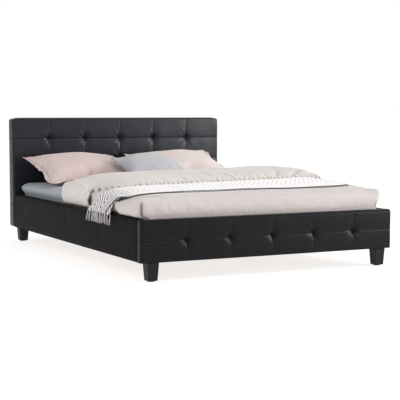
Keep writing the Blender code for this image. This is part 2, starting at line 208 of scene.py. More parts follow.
def upholster(piece, node, body):
    """Puts a padded piece in its CAD node's place: hides the node and joins the piece to its body."""
    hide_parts(node)
    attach(piece, body)


def put_points(builder, points):
    for vert, point in zip(builder.verts, points):
        vert.co = point


def gather_lines(values, pitch, offset, low, high, share=0.55, margin=0.03):
    """Moves evenly spaced grid lines towards the seams, where the surface turns fastest."""
    window = np.clip(np.minimum(values - low, high - values) / margin, 0, 1)
    phase = 2 * math.pi * (values - offset) / pitch
    return values - window * share * pitch / (2 * math.pi) * np.sin(phase)


def distance_to(values, lines):
    return np.min([np.abs(values - line) for line in lines], axis=0) if len(lines) else values * 0 + 9


CROWN = 0.0021
SEAM_DEPTH = 0.0009
SEAM_WIDTH = 0.0026
TUFT_DEPTH = 0.0165
TUFT_REACH = 0.017
TUFT_SHADE_REACH = 0.013
TUFT_CREASE = 0.0032
SHOULDER = 0.018
SIDE_SHOULDER = 0.020
EDGE_DIP = 0.0012
EDGE_DIP_WIDTH = 0.003


def quilt(across, up, columns, rows, tuft_rows, edges_up, crown=CROWN):
    """How far the sewn squares stand proud of the flat face, in metres.

    Each square is crowned, each seam is a narrow valley, and each tuft is a pit with
    creases running out of it along the seams and the diagonals.
    """
    to_column = distance_to(across, columns)
    to_row = distance_to(up, rows)
    to_side = distance_to(up, edges_up)
    height = crown * (1 - 0.45 * np.exp(-to_column / SHOULDER)) * (1 - np.exp(-to_row / SHOULDER))
    height = height * (1 - np.exp(-to_side / SIDE_SHOULDER))
    valley = 0.5 * np.exp(-((to_column / SEAM_WIDTH) ** 2)) + np.exp(-((to_row / SEAM_WIDTH) ** 2))
    height = height - SEAM_DEPTH * np.minimum(valley, 1.0)
    for index, column in enumerate(columns):
        for row in tuft_rows:
            dx, dz = across - column, up - row
            reach = np.hypot(dx, dz)
            angle = np.arctan2(dz, dx) + 0.12 * math.sin(3.1 * index + 9 * row)
            folds = 0.55 * np.cos(4 * angle) + 0.45 * np.cos(9 * angle + index)
            pit = TUFT_DEPTH * np.exp(-((reach / TUFT_REACH) ** 1.25))
            crease = TUFT_CREASE * folds * np.exp(-reach / 0.030) * np.clip(reach / 0.008, 0, 1)
            height = height - pit - crease
    return height


def mark_painted_pit_shade(piece, columns, rows, tuft_rows):
    """Stores how deep in a seam or a tuft's pit each point is, for the skin's painted shade to follow."""
    points = mesh_points(piece)
    to_seam = np.minimum(1.3 * distance_to(points[:, 0], columns), distance_to(points[:, 2], rows))
    pit_and_seam_shade = 0.85 * np.exp(-((to_seam / SEAM_WIDTH) ** 2))
    for column in columns:
        for row in tuft_rows:
            reach = np.hypot(points[:, 0] - column, points[:, 2] - row + 0.003)
            pit_and_seam_shade = np.maximum(pit_and_seam_shade, np.exp(-((reach / TUFT_SHADE_REACH) ** 2)))
    mark(piece, "painted_pit_shade", pit_and_seam_shade)


def wrinkle(points, size, seed=0.0):
    """Smooth noise from -1 to 1 at the points, with features of the given size in metres."""
    return np.array([noise.noise(Vector((x / size + seed, y / size, z / size))) for x, y, z in points])


HEAD_FACE = HEAD_LOW.y
BACK_TURN = 0.014
HEAD_GRID = (0.0046, 0.008, 0.0046)
ROUNDED_FROM_X = 0.700
ROUNDED_FROM_Z = 0.70
CORNER_DROP = 0.011
HEAD_ROWS = [HEAD_HIGH.z - FIRST_SEAM_DROP - row * SEAM_PITCH_Z for row in range(4)]
# The headboard's copy of the leather is painted lighter and bluer than the footboard's, for the light it
# catches.
HEAD_LEATHER = faux_leather("polyurethane_faux_leather_headboard", "#12131a", "#191a24", 0.17, 0.21)


def headboard_relief(x, z):
    return quilt(x, z, SQUARE_COLUMNS, HEAD_ROWS, HEAD_ROWS[:2], [HEAD_LOW.z, HEAD_HIGH.z])


def corner_drop(points):
    """How far the headboard's top corners are rounded down by the pull of the cover."""
    near_end = np.clip((np.abs(points[:, 0]) - ROUNDED_FROM_X) / (HEAD_HIGH.x - ROUNDED_FROM_X), 0, 1)
    near_top = np.clip((points[:, 2] - ROUNDED_FROM_Z) / (HEAD_HIGH.z - ROUNDED_FROM_Z), 0, 1)
    return CORNER_DROP * near_end**2 * near_top


def turn_in(builder, back, width):
    """Turns a cover's open rim in over the back of its panel, where the staples hold it."""
    middle = (HEAD_LOW + HEAD_HIGH) / 2
    rim = [edge for edge in builder.edges if edge.is_boundary]
    turned = bmesh.ops.extrude_edge_only(builder, edges=rim)["geom"]
    for vert in (item for item in turned if isinstance(item, bmesh.types.BMVert)):
        inset_x = width if abs(vert.co.x) > HEAD_HIGH.x - 0.006 else 0.0
        inset_z = width if abs(vert.co.z - middle.z) > HEAD_HIGH.z - middle.z - 0.020 else 0.0
        vert.co.x -= math.copysign(inset_x, vert.co.x)
        vert.co.z -= math.copysign(inset_z, vert.co.z - middle.z)
        vert.co.y = back
    bmesh.ops.recalc_face_normals(builder, faces=builder.faces)


def make_headboard_cover():
    builder = rounded_block(HEAD_LOW, HEAD_HIGH, WRAP_RADIUS, HEAD_GRID, [(1, 1)])
    points, _ = points_and_normals(builder)
    points[:, 0] = gather_lines(points[:, 0], SEAM_PITCH_X, 0, HEAD_LOW.x, HEAD_HIGH.x)
    points[:, 2] = gather_lines(points[:, 2], SEAM_PITCH_Z, HEAD_ROWS[0], HEAD_LOW.z, HEAD_HIGH.z)
    put_points(builder, points)
    points, normals = points_and_normals(builder)
    front = np.clip(-normals[:, 1], 0, 1) ** 2
    relief = front * headboard_relief(points[:, 0], points[:, 2])
    to_column = distance_to(points[:, 0], SQUARE_COLUMNS)
    wrapped = (1 - front) * np.clip(1 - np.abs(normals[:, 0]), 0, 1)
    relief = relief - wrapped * EDGE_DIP * np.exp(-((to_column / EDGE_DIP_WIDTH) ** 2))
    relief = relief + 0.0007 * wrinkle(points, 0.09) * np.clip(front + 0.3, 0, 1)
    points = points + normals * relief[:, None]
    points[:, 2] -= corner_drop(points)
    put_points(builder, points)
    turn_in(builder, HEAD_HIGH.y, BACK_TURN)
    cover = piece_from(builder, "headboard_leather", HEAD_LEATHER)
    mark_painted_pit_shade(cover, SQUARE_COLUMNS, HEAD_ROWS, HEAD_ROWS[:2])
    add_wall(cover, SKIN_WALL)
    upholster(cover, "headboard_cover", "frame")


make_headboard_cover()


# ---------------- headboard foam
# A slab of upholstery foam glued to the panel. The tufts' ties pull it in where they pull
# the cover, so it has the cover's own relief, a skin's thickness further back.

FOAM_CLEARANCE = 0.0025
FOAM_LEAST = 0.0175
FOAM_RADIUS = 0.012
FOAM_GRID = (0.008, 0.012, 0.008)
FOAM_PULL = 1.15


def textured(material, kind, tones=None, bump=None, settings=None, out=0, stretch=None, **pattern):
    """Gives a material one pattern, which blends two tones, lifts the surface, or both.

    bump is the pattern's strength and depth. stretch is its scale along X, Y and Z.
    """
    place = add_node(material, "TexCoord", out="Object")
    if stretch:
        place = add_node(material, "Mapping", Vector=place, Scale=stretch)
    drawn = add_node(material, kind, settings, out, Vector=place, **pattern)
    if tones:
        low, high = linear(tones[0]), linear(tones[1])
        feed(material, Base_Color=add_node(material, "Mix", COLOURS, COLOUR_OUT, _0=drawn, _6=low, _7=high))
    if bump:
        feed(material, Normal=add_node(material, "Bump", Height=drawn, Strength=bump[0], Distance=bump[1]))
    return material


# Open-cell polyurethane foam: matt, warm white, with its cells drawn 3 mm across.
FOAM = new_material("polyurethane_foam_open_cell", Roughness=0.95, Specular_IOR_Level=0.2)
textured(FOAM, "TexVoronoi", ("#d9cda4", "#efe6c6"), (0.4, 0.001), Scale=330.0)


def foam_slab(name, node, relief):
    low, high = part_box(node)
    builder = rounded_block(low, high, FOAM_RADIUS, FOAM_GRID, segments=3)
    points, normals = points_and_normals(builder)
    front = np.clip(-normals[:, 1], 0, 1) ** 2
    lift = FOAM_PULL * np.minimum(relief(points[:, 0], points[:, 2]), 0.0) - FOAM_CLEARANCE
    lift = np.maximum(lift, -FOAM_LEAST)
    points[:, 1] -= front * lift
    if high.z > 0.5:
        points[:, 2] -= corner_drop(points)
    put_points(builder, points)
    slab = piece_from(builder, name, FOAM)
    upholster(slab, node, "frame")


foam_slab("headboard_foam_slab", "headboard_foam", headboard_relief)


# ---------------- footboard cover and foam
# The footboard is sewn in two rows of the same squares, with tufts on the one seam between
# them. Its cover runs over the top edge and down the inner face.

FOOT_LOW, FOOT_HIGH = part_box("footboard_cover")
FOOT_ROW = (FOOT_LOW.z + FOOT_HIGH.z) / 2
FOOT_GRID = (0.0046, 0.006, 0.0040)
# The footboard's copy of the same leather is painted darker, for the shade it stands in.
FOOT_LEATHER = faux_leather("polyurethane_faux_leather_footboard", "#0b0b0e", "#101014", 0.08, 0.13)


def footboard_relief(x, z):
    return quilt(x, z, SQUARE_COLUMNS, [FOOT_ROW], [FOOT_ROW], [FOOT_LOW.z, FOOT_HIGH.z])


def make_footboard_cover():
    builder = rounded_block(FOOT_LOW, FOOT_HIGH, WRAP_RADIUS, FOOT_GRID, [(2, -1)])
    points, _ = points_and_normals(builder)
    points[:, 0] = gather_lines(points[:, 0], SEAM_PITCH_X, 0, FOOT_LOW.x, FOOT_HIGH.x)
    put_points(builder, points)
    points, normals = points_and_normals(builder)
    front = np.clip(-normals[:, 1], 0, 1) ** 2
    relief = front * footboard_relief(points[:, 0], points[:, 2])
    to_column = distance_to(points[:, 0], SQUARE_COLUMNS)
    top = np.clip(normals[:, 2], 0, 1)
    relief = relief - (1 - front) * top * EDGE_DIP * np.exp(-((to_column / EDGE_DIP_WIDTH) ** 2))
    relief = relief + 0.0007 * wrinkle(points, 0.08, 5.0) * front
    put_points(builder, points + normals * relief[:, None])
    cover = piece_from(builder, "footboard_leather", FOOT_LEATHER)
    mark_painted_pit_shade(cover, SQUARE_COLUMNS, [FOOT_ROW], [FOOT_ROW])
    add_wall(cover, SKIN_WALL)
    upholster(cover, "footboard_cover", "frame")


make_footboard_cover()
foam_slab("footboard_foam_slab", "footboard_foam", footboard_relief)


# ---------------- side rail covers
# Each rail's cover is four plain panels joined by upright seams, thinly padded and pulled
# down tight. Its leather is a darker, browner copy of the same skin, with painted shade for
# where it turns from the light.

RAIL_RADIUS = 0.010
RAIL_GRID = (0.008, 0.0070, 0.0060)
RAIL_CROWN = 0.0032
RAIL_LEATHER = faux_leather("polyurethane_faux_leather_rail", "#141112", "#1a1617", 0.014, 0.0)
RAIL_LOW, RAIL_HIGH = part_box("left_rail_cover")
RAIL_PANEL = (RAIL_HIGH.y - RAIL_LOW.y) / 4
RAIL_SEAMS = [RAIL_LOW.y + RAIL_PANEL * number for number in (1, 2, 3)]


def rail_relief(y, z):
    return quilt(y, z, RAIL_SEAMS, [], [], [RAIL_LOW.z, RAIL_HIGH.z], crown=RAIL_CROWN)


def make_rail_cover(side):
    low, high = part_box(f"{side}_rail_cover")
    sign = -1 if side == "left" else 1
    builder = rounded_block(low, high, RAIL_RADIUS, RAIL_GRID, [(2, -1)])
    points, _ = points_and_normals(builder)
    points[:, 1] = gather_lines(points[:, 1], RAIL_PANEL, low.y, low.y, high.y, share=0.7)
    put_points(builder, points)
    points, normals = points_and_normals(builder)
    front = np.clip(sign * normals[:, 0], 0, 1) ** 2
    relief = front * np.maximum(rail_relief(points[:, 1], points[:, 2]), -0.0006)
    to_seam = distance_to(points[:, 1], RAIL_SEAMS)
    relief = relief - (1 - front) * 0.0002 * np.exp(-((to_seam / EDGE_DIP_WIDTH) ** 2))
    relief = relief + 0.0006 * np.abs(wrinkle(points, 0.11, 3.0 * sign)) * front
    put_points(builder, points + normals * relief[:, None])
    cover = piece_from(builder, f"{side}_rail_leather", RAIL_LEATHER)
    add_wall(cover, SKIN_WALL)
    upholster(cover, f"{side}_rail_cover", "frame")


for rail_side in ("left", "right"):
    make_rail_cover(rail_side)


# ---------------- topstitching
# Two rows of black polyester topstitch hold each seam's allowances flat, one row on each
# side. Every stitch is a short bead of thread that dips into the skin at its ends.

STITCH_LENGTH = 0.0062
STITCH_PITCH = 0.0090
STITCH_OFFSET = 0.0065
STITCH_GAP = 0.020
THREAD_RADIUS = 0.00055


# Bonded polyester thread: dark grey, with a slight shine along each twist.
THREAD = new_material("bonded_polyester_thread", Base_Color=linear("#3a3a3d"), Roughness=0.5)
DIAGONAL = {"bands_direction": "DIAGONAL"}
textured(THREAD, "TexWave", bump=(0.5, 0.0003), settings=DIAGONAL, out="Fac", Scale=260.0)


def sew(name, lines, surface, skip):
    """Stitches along lines. Each line is (start, end) in the sewn face's own plane.

    surface(a, b) is the point on the skin and skip(a, b) is true where no stitch shows.
    """
    builder = bmesh.new()
    for start, end in lines:
        start, end = Vector(start), Vector(end)
        count = int((end - start).length / STITCH_PITCH)
        for number in range(count):
            middle = start.lerp(end, (number + 0.5) / count)
            if skip(*middle):
                continue
            half = (end - start).normalized() * STITCH_LENGTH / 2
            near, far = surface(*(middle - half)), surface(*(middle + half))
            turn = (far - near).to_track_quat("X", "Z").to_matrix().to_4x4()
            size = Matrix.Diagonal((STITCH_LENGTH / 2, THREAD_RADIUS, THREAD_RADIUS, 1))
            bmesh.ops.create_icosphere(
                builder,
                subdivisions=1,
                radius=1.0,
                matrix=Matrix.Translation((near + far) / 2) @ turn @ size,
            )
    stitches = piece_from(builder, name, THREAD)
    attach(stitches, "frame")


def sew_front(name, low, high, rows, relief):
    """Topstitch on a board's front, either side of its upright and level seams."""
    either_side = (-STITCH_OFFSET, STITCH_OFFSET)
    low_x, high_x = low.x + WRAP_RADIUS, high.x - WRAP_RADIUS
    low_z, high_z = low.z + WRAP_RADIUS, high.z - WRAP_RADIUS
    upright = [((c + shift, low_z), (c + shift, high_z)) for c in SQUARE_COLUMNS for shift in either_side]
    level = [((low_x, row + shift), (high_x, row + shift)) for row in rows for shift in either_side]

    def surface(x, z):
        height = float(relief(np.array([x]), np.array([z]))[0])
        return Vector((x, low.y - height - THREAD_RADIUS * 0.4, z))

    def near_crossing(x, z):
        to_column = min(abs(x - column) for column in SQUARE_COLUMNS)
        return max(to_column, min(abs(z - row) for row in rows)) < STITCH_GAP

    sew(name, upright + level, surface, near_crossing)


sew_front("headboard_topstitch", HEAD_LOW, HEAD_HIGH, HEAD_ROWS, headboard_relief)
sew_front("footboard_topstitch", FOOT_LOW, FOOT_HIGH, [FOOT_ROW], footboard_relief)


def sew_rail(side):
    low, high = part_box(f"{side}_rail_cover")
    sign = -1 if side == "left" else 1
    face_x = low.x if side == "left" else high.x
    lines = [
        ((seam + shift, low.z + 0.004), (seam + shift, high.z - RAIL_RADIUS))
        for seam in RAIL_SEAMS
        for shift in (-STITCH_OFFSET, STITCH_OFFSET)
    ]

    def surface(y, z):
        height = float(rail_relief(np.array([y]), np.array([z]))[0])
        return Vector((face_x + sign * (height + THREAD_RADIUS * 0.4), y, z))

    sew(f"{side}_rail_topstitch", lines, surface, skip=lambda y, z: False)


for rail_side in ("left", "right"):
    sew_rail(rail_side)


# ---------------- timber of the frame
# Planed pine makes the battens, boards, ledgers, beam and slats, and the headboard's panel
# is chipboard. The legs are turned out of beech, stained black and sealed.

GROWTH_RING = 0.007


def pine_material(name, along):
    """Planed pine with its grain along one axis: pale earlywood and honey-coloured rings."""
    pine = new_material(name, Roughness=0.55, Specular_IOR_Level=0.4)
    place = add_node(pine, "TexCoord", out="Object")
    stretch = [0.06 if axis == along else 1.0 for axis in "XYZ"]
    grain = add_node(pine, "Mapping", Vector=place, Scale=stretch)
    sway = add_node(pine, "TexNoise", out="Color", Vector=grain, Scale=9.0, Detail=2.0)
    bend = {"operation": "MULTIPLY_ADD"}
    bent = add_node(pine, "VectorMath", bend, _0=sway, _1=(0.03, 0.03, 0.03), _2=grain)
    ring = {"wave_type": "RINGS", "rings_direction": along}
    growth = {"Scale": 1 / (GROWTH_RING * 6.5), "Distortion": 2.0, "Detail": 2.0}
    rings = add_node(pine, "TexWave", ring, "Fac", Vector=bent, **growth)
    fibres = add_node(pine, "TexNoise", Vector=grain, Scale=320.0, Detail=3.0)
    tone = add_node(pine, "Mix", COLOURS, COLOUR_OUT, _0=rings, _6=linear("#dcb98a"), _7=linear("#c4935c"))
    darken, flecks = COLOURS | {"blend_type": "MULTIPLY"}, fibres.node.outputs["Color"]
    flecked = add_node(pine, "Mix", darken, COLOUR_OUT, _0=0.25, _6=tone, _7=flecks)
    bump = add_node(pine, "Bump", Height=fibres, Strength=0.3, Distance=0.0004)
    feed(pine, Base_Color=flecked, Normal=bump)
    return pine


def chipboard_material():
    """Pressed wood chips 3 to 8 mm across, in mixed browns, with a sanded face."""
    board = new_material("chipboard_sanded", Roughness=0.8, Specular_IOR_Level=0.3)
    chips = add_node(board, "TexVoronoi", Vector=add_node(board, "TexCoord", out="Object"), Scale=190.0)
    chip_colour = chips.node.outputs["Color"]
    low, high = linear("#b08d5f"), linear("#d8bd8e")
    feed(board, Base_Color=add_node(board, "Mix", COLOURS, COLOUR_OUT, _0=chip_colour, _6=low, _7=high))
    feed(board, Normal=add_node(board, "Bump", Height=chips, Strength=0.3, Distance=0.0005))
    return board


def nodes_named(*starts):
    return sorted(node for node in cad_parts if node.startswith(starts))


def dress(material, *nodes):
    """Gives carried-over CAD nodes a better material."""
    for node in nodes:
        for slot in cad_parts[node].material_slots:
            slot.material = material


PINE_ALONG_X = pine_material("pine_planed_along_x", "X")
PINE_ALONG_Y = pine_material("pine_planed_along_y", "Y")
PINE_ALONG_Z = pine_material("pine_planed_along_z", "Z")
SLATS = [node for node in nodes_named("slat_") if "tape" not in node]
dress(PINE_ALONG_X, "headboard_top_batten", "headboard_bottom_batten", "footboard_board", *SLATS)
dress(PINE_ALONG_Y, "left_rail_board", "right_rail_board", "left_ledger", "right_ledger", "centre_beam")
dress(PINE_ALONG_Z, *[f"headboard_{place}_stile" for place in ("left", "centre", "right")])
dress(chipboard_material(), "headboard_panel")

# Black-stained beech under satin lacquer: short upright pores that catch the light.
STAINED_BEECH = new_material("beech_black_stained", Roughness=0.45, Specular_IOR_Level=0.16)
PORES = {"stretch": (1.0, 1.0, 0.10), "Scale": 420.0, "Detail": 3.0}
textured(STAINED_BEECH, "TexNoise", ("#151314", "#201c1d"), (0.25, 0.0004), **PORES)
dress(STAINED_BEECH, "centre_leg", *nodes_named("leg_"))


# ---------------- metal, plastic and back cloth
# Pressed brackets and hangers in black powder coat, zinc-plated bolts and levelling stem,
# moulded glides and pad, the woven slat tapes and the non-woven cloth over the back.


# Polyester powder coat: black, with a fine orange-peel ripple 1.5 mm across.
POWDER_COAT = new_material("polyester_powder_coat_black", Base_Color=linear("#1d1d1e"), Roughness=0.45)
textured(POWDER_COAT, "TexNoise", bump=(0.2, 0.0002), Scale=650.0, Detail=1.0)
dress(POWDER_COAT, *nodes_named("corner_bracket", "beam_hanger"))

# Bright zinc plate: a grey-blue metal, blotched where the passivate dried unevenly.
ZINC_PLATE = new_material("zinc_plated_steel", Metallic=1.0, Roughness=0.32)
textured(ZINC_PLATE, "TexNoise", ("#a9adb0", "#c9cbc8"), Scale=120.0, Detail=3.0)
dress(ZINC_PLATE, "levelling_stem", *nodes_named("rail_bolt"))

# Injection-moulded polypropylene: black, matt, with a spark-eroded texture.
PLASTIC = new_material("polypropylene_moulded_black", Base_Color=linear("#202022"), Roughness=0.55)
textured(PLASTIC, "TexNoise", bump=(0.25, 0.0002), Scale=900.0, Detail=2.0)
dress(PLASTIC, "levelling_pad", *nodes_named("glide"))

# Spun-bonded polypropylene cloth: black, matt, point-bonded every 3 mm.
SPUNBOND = new_material("spunbond_polypropylene_black", Roughness=0.92, Specular_IOR_Level=0.2)
textured(SPUNBOND, "TexVoronoi", ("#161617", "#2a2a2b"), (0.4, 0.0005), Scale=330.0, Randomness=0.15)
dress(SPUNBOND, "headboard_back_cloth")

# Woven polypropylene tape: off-white, with ribs drawn 2 mm apart.
WEBBING = new_material("woven_polypropylene_tape", Roughness=0.8)
RIBS = {"settings": {"bands_direction": "Y"}, "out": "Fac", "Scale": 500 / 20 * 6.283}
textured(WEBBING, "TexWave", ("#c9c3b4", "#e4dfd2"), (0.5, 0.0005), **RIBS)
dress(WEBBING, "slat_tape_left", "slat_tape_right")


# ---------------- mattress
# A foam mattress in a fitted sheet of grey-blue percale. The sheet's elastic pulls it tight
# over the border, with short gathers fanning out of each corner.

MATTRESS_LOW, MATTRESS_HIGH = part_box("mattress")
MATTRESS_RADIUS = 0.034
DUVET_COVERS_Y = 0.10
HEAD_END_BULGE = 0.026
PRESSED_IN = 0.010


def cotton(name, colour, shade, thread=0.0016, crumple=22.0, depth=0.0016):
    """Plain-woven cotton: matt, with a soft edge sheen and a faint crumple.

    The yarns of real bed linen are 0.3 mm apart. They are drawn at 1.6 mm so that they show.
    """
    cloth = new_material(
        name, Roughness=0.88, Specular_IOR_Level=0.2, Sheen_Weight=0.18, Sheen_Roughness=0.5
    )
    place = add_node(cloth, "TexCoord", out="Object")
    per_metre = math.pi * 2 / thread / 20
    warp = add_node(cloth, "TexWave", {"bands_direction": "X"}, "Fac", Vector=place, Scale=per_metre)
    weft = add_node(cloth, "TexWave", {"bands_direction": "Y"}, "Fac", Vector=place, Scale=per_metre)
    weave = add_node(cloth, "Math", {"operation": "MAXIMUM"}, _0=warp, _1=weft)
    crumpled = {"Scale": crumple, "Detail": 5.0, "Roughness": 0.55, "Distortion": 0.6}
    folds = add_node(cloth, "TexNoise", Vector=place, **crumpled)
    clouds = add_node(cloth, "TexNoise", Vector=place, Scale=5.0, Detail=2.0)
    tone = add_node(cloth, "Mix", COLOURS, COLOUR_OUT, _0=clouds, _6=linear(shade), _7=linear(colour))
    # Painted shade: the colour darkens to a brown-grey where a crease or gather is marked, for the shade
    # that falls in it.
    painted_crease_shade = add_node(cloth, "Attribute", {"attribute_name": "painted_crease_shade"}, "Fac")
    shaded = add_node(cloth, "Mix", COLOURS, COLOUR_OUT, _0=painted_crease_shade, _6=tone, _7=linear("#5d4d48"))
    threads = add_node(cloth, "Bump", Height=weave, Strength=0.12, Distance=0.0004)
    creases = add_node(cloth, "Bump", Height=folds, Normal=threads, Strength=0.35, Distance=depth)
    feed(cloth, Base_Color=shaded, Normal=creases)
    return cloth


PERCALE = cotton("cotton_percale_grey_blue", "#a0a5ad", "#9298a1")


def make_mattress():
    steps = (0.014, 0.014, 0.012)
    builder = rounded_block(MATTRESS_LOW, MATTRESS_HIGH, MATTRESS_RADIUS, steps, segments=6)
    points, normals = points_and_normals(builder)
    across, upwards = np.abs(normals[:, 0]), normals[:, 2]
    sides = np.clip(1 - np.abs(upwards), 0, 1)
    corner_x = (MATTRESS_HIGH.x - MATTRESS_LOW.x) / 2 - np.abs(points[:, 0])
    middle_y = (MATTRESS_HIGH.y + MATTRESS_LOW.y) / 2
    corner_y = (MATTRESS_HIGH.y - MATTRESS_LOW.y) / 2 - np.abs(points[:, 1] - middle_y)
    reach = np.hypot(corner_x, corner_y)
    angle = np.arctan2(corner_y, corner_x)
    gathers = 0.0022 * np.cos(16 * angle) * np.exp(-reach / 0.07) * np.clip(reach / 0.02, 0, 1)
    soft = -0.0016 * np.abs(wrinkle(points, 0.16)) - 0.0008 * np.abs(wrinkle(points, 0.05, 4.0))
    relief = soft + gathers * np.clip(upwards, 0, 1) - 0.0022 - 0.0006 * sides
    over_rail = points[:, 2] - (RAIL_HIGH.z + 0.004)
    swell = np.sin(math.pi * np.clip(over_rail / 0.085, 0, 1)) * np.clip(across, 0, 1)
    near_head = np.clip((points[:, 1] - DUVET_COVERS_Y) / 0.2, 0, 1)
    points[:, 0] += np.sign(points[:, 0]) * HEAD_END_BULGE * swell * near_head
    pressed = np.clip((DUVET_COVERS_Y - points[:, 1]) / 0.06, 0, 1) * np.clip(upwards + across, 0, 1)
    relief = relief - PRESSED_IN * pressed
    put_points(builder, points + normals * relief[:, None])
    sheeted = piece_from(builder, "mattress_in_sheet", PERCALE)
    upholster(sheeted, "mattress", "mattress")


make_mattress()


# ---------------- duvet
# A down-filled duvet in a blush cotton cover, tucked between the mattress and the frame on
# three sides. Its corner is folded under like a parcel's, which leaves a crease at the side.

RAIL_TOP = RAIL_HIGH.z
RAIL_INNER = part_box("right_rail_cover")[0].x
TUCK_CLEARANCE = 0.0015
TUCK_DEPTH = 0.080
DUVET_WALL = 0.010
DUVET_RADIUS = 0.028
DUVET_LEVEL = 0.418
SIDE_BULGE = 0.028
FOLD_FREE_Y = -0.400
FOLD_HEAD_Y = 0.235
LEAN_OUT = 0.024
CORNER_LEAN = 0.020
CREASE_FACING = 0.90
CREASE_DEPTH = 0.016
CREASE_PINCH = 0.008
FLAP_PROUD = 0.005
FOOT_BULGE = 0.006
LEFT_EDGE_DROP = 0.014
RIGHT_EDGE_PLUMP = 0.012
AT_SIDE = (0.60, 0.68)

BLUSH_COTTON = cotton("cotton_sateen_blush", "#c9c1be", "#c0b7b4", crumple=16.0, depth=0.0022)


def rise(value, start, end):
    """A smooth step from 0 at start to 1 at end."""
    share = np.clip((value - start) / (end - start), 0, 1)
    return share * share * (3 - 2 * share)


def duvet_top(x, y):
    """The height of the duvet's top over the mattress, before its wrinkles."""
    foot = rise(-y, 0.72, 0.95)
    height = DUVET_LEVEL + 0.018 * x - 0.014 * rise(-x, 0.50, 0.70) * (1 - foot)
    from_throw = y + 0.70
    height = height + 0.060 * np.clip(from_throw, 0, 0.35)
    height = height + 0.050 * np.clip(from_throw, -0.4, 0) * rise(x, -0.6, 0.5)
    height = height + 0.014 * foot * rise(-x, 0.0, 0.65)
    return height + 0.004 * rise(x, 0.40, 0.70) * rise(y, -0.95, -0.70)


def run_cloth(piece, frames, **stiffness):
    """Runs a cloth simulation under pressure and without gravity, and gives the end's points."""
    cloth = piece.modifiers.new("cloth", "CLOTH")
    for name, value in stiffness.items():
        setattr(cloth.settings, name, value)
    cloth.settings.use_pressure = True
    cloth.settings.effector_weights.gravity = 0
    cloth.collision_settings.use_collision = False
    cloth.point_cache.frame_start = 1
    cloth.point_cache.frame_end = frames
    for frame_number in range(1, frames + 1):
        bpy.context.scene.frame_set(frame_number)
    settled = piece.evaluated_get(bpy.context.evaluated_depsgraph_get())
    points = np.array([v.co[:] for v in settled.to_mesh().vertices])
    settled.to_mesh_clear()
    piece.modifiers.remove(cloth)
    bpy.context.scene.frame_set(1)
    return points


def settle_cloth(piece, held, swell, slack, cap):
    """Lets a fabric skin swell and buckle by cloth simulation, then keeps the result.

    held is each point's pin weight. slack is the share by which the cloth is too large for
    its place. No point moves past cap.
    """
    start = mesh_points(piece)
    group = piece.vertex_groups.new(name="held")
    for index, weight in enumerate(held):
        group.add([index], float(weight), "REPLACE")
    moved = -start + run_cloth(
        piece,
        frames=16,
        quality=4,
        mass=0.25,
        tension_stiffness=18,
        compression_stiffness=18,
        shear_stiffness=8,
        bending_stiffness=0.35,
        air_damping=4,
        vertex_group_mass="held",
        uniform_pressure_force=swell,
        shrink_min=-slack,
    )
    length = np.linalg.norm(moved, axis=1, keepdims=True)
    moved = moved * (cap * np.tanh(length / cap) / np.maximum(length, 1e-9))
    piece.data.vertices.foreach_set("co", (start + moved).ravel())
    piece.data.update()
    piece.vertex_groups.clear()


def soften(piece):
    """Rounds a finished surface off with one subdivision."""
    smooth = piece.modifiers.new("soft", "SUBSURF")
    smooth.levels = 1
    smooth.render_levels = 1


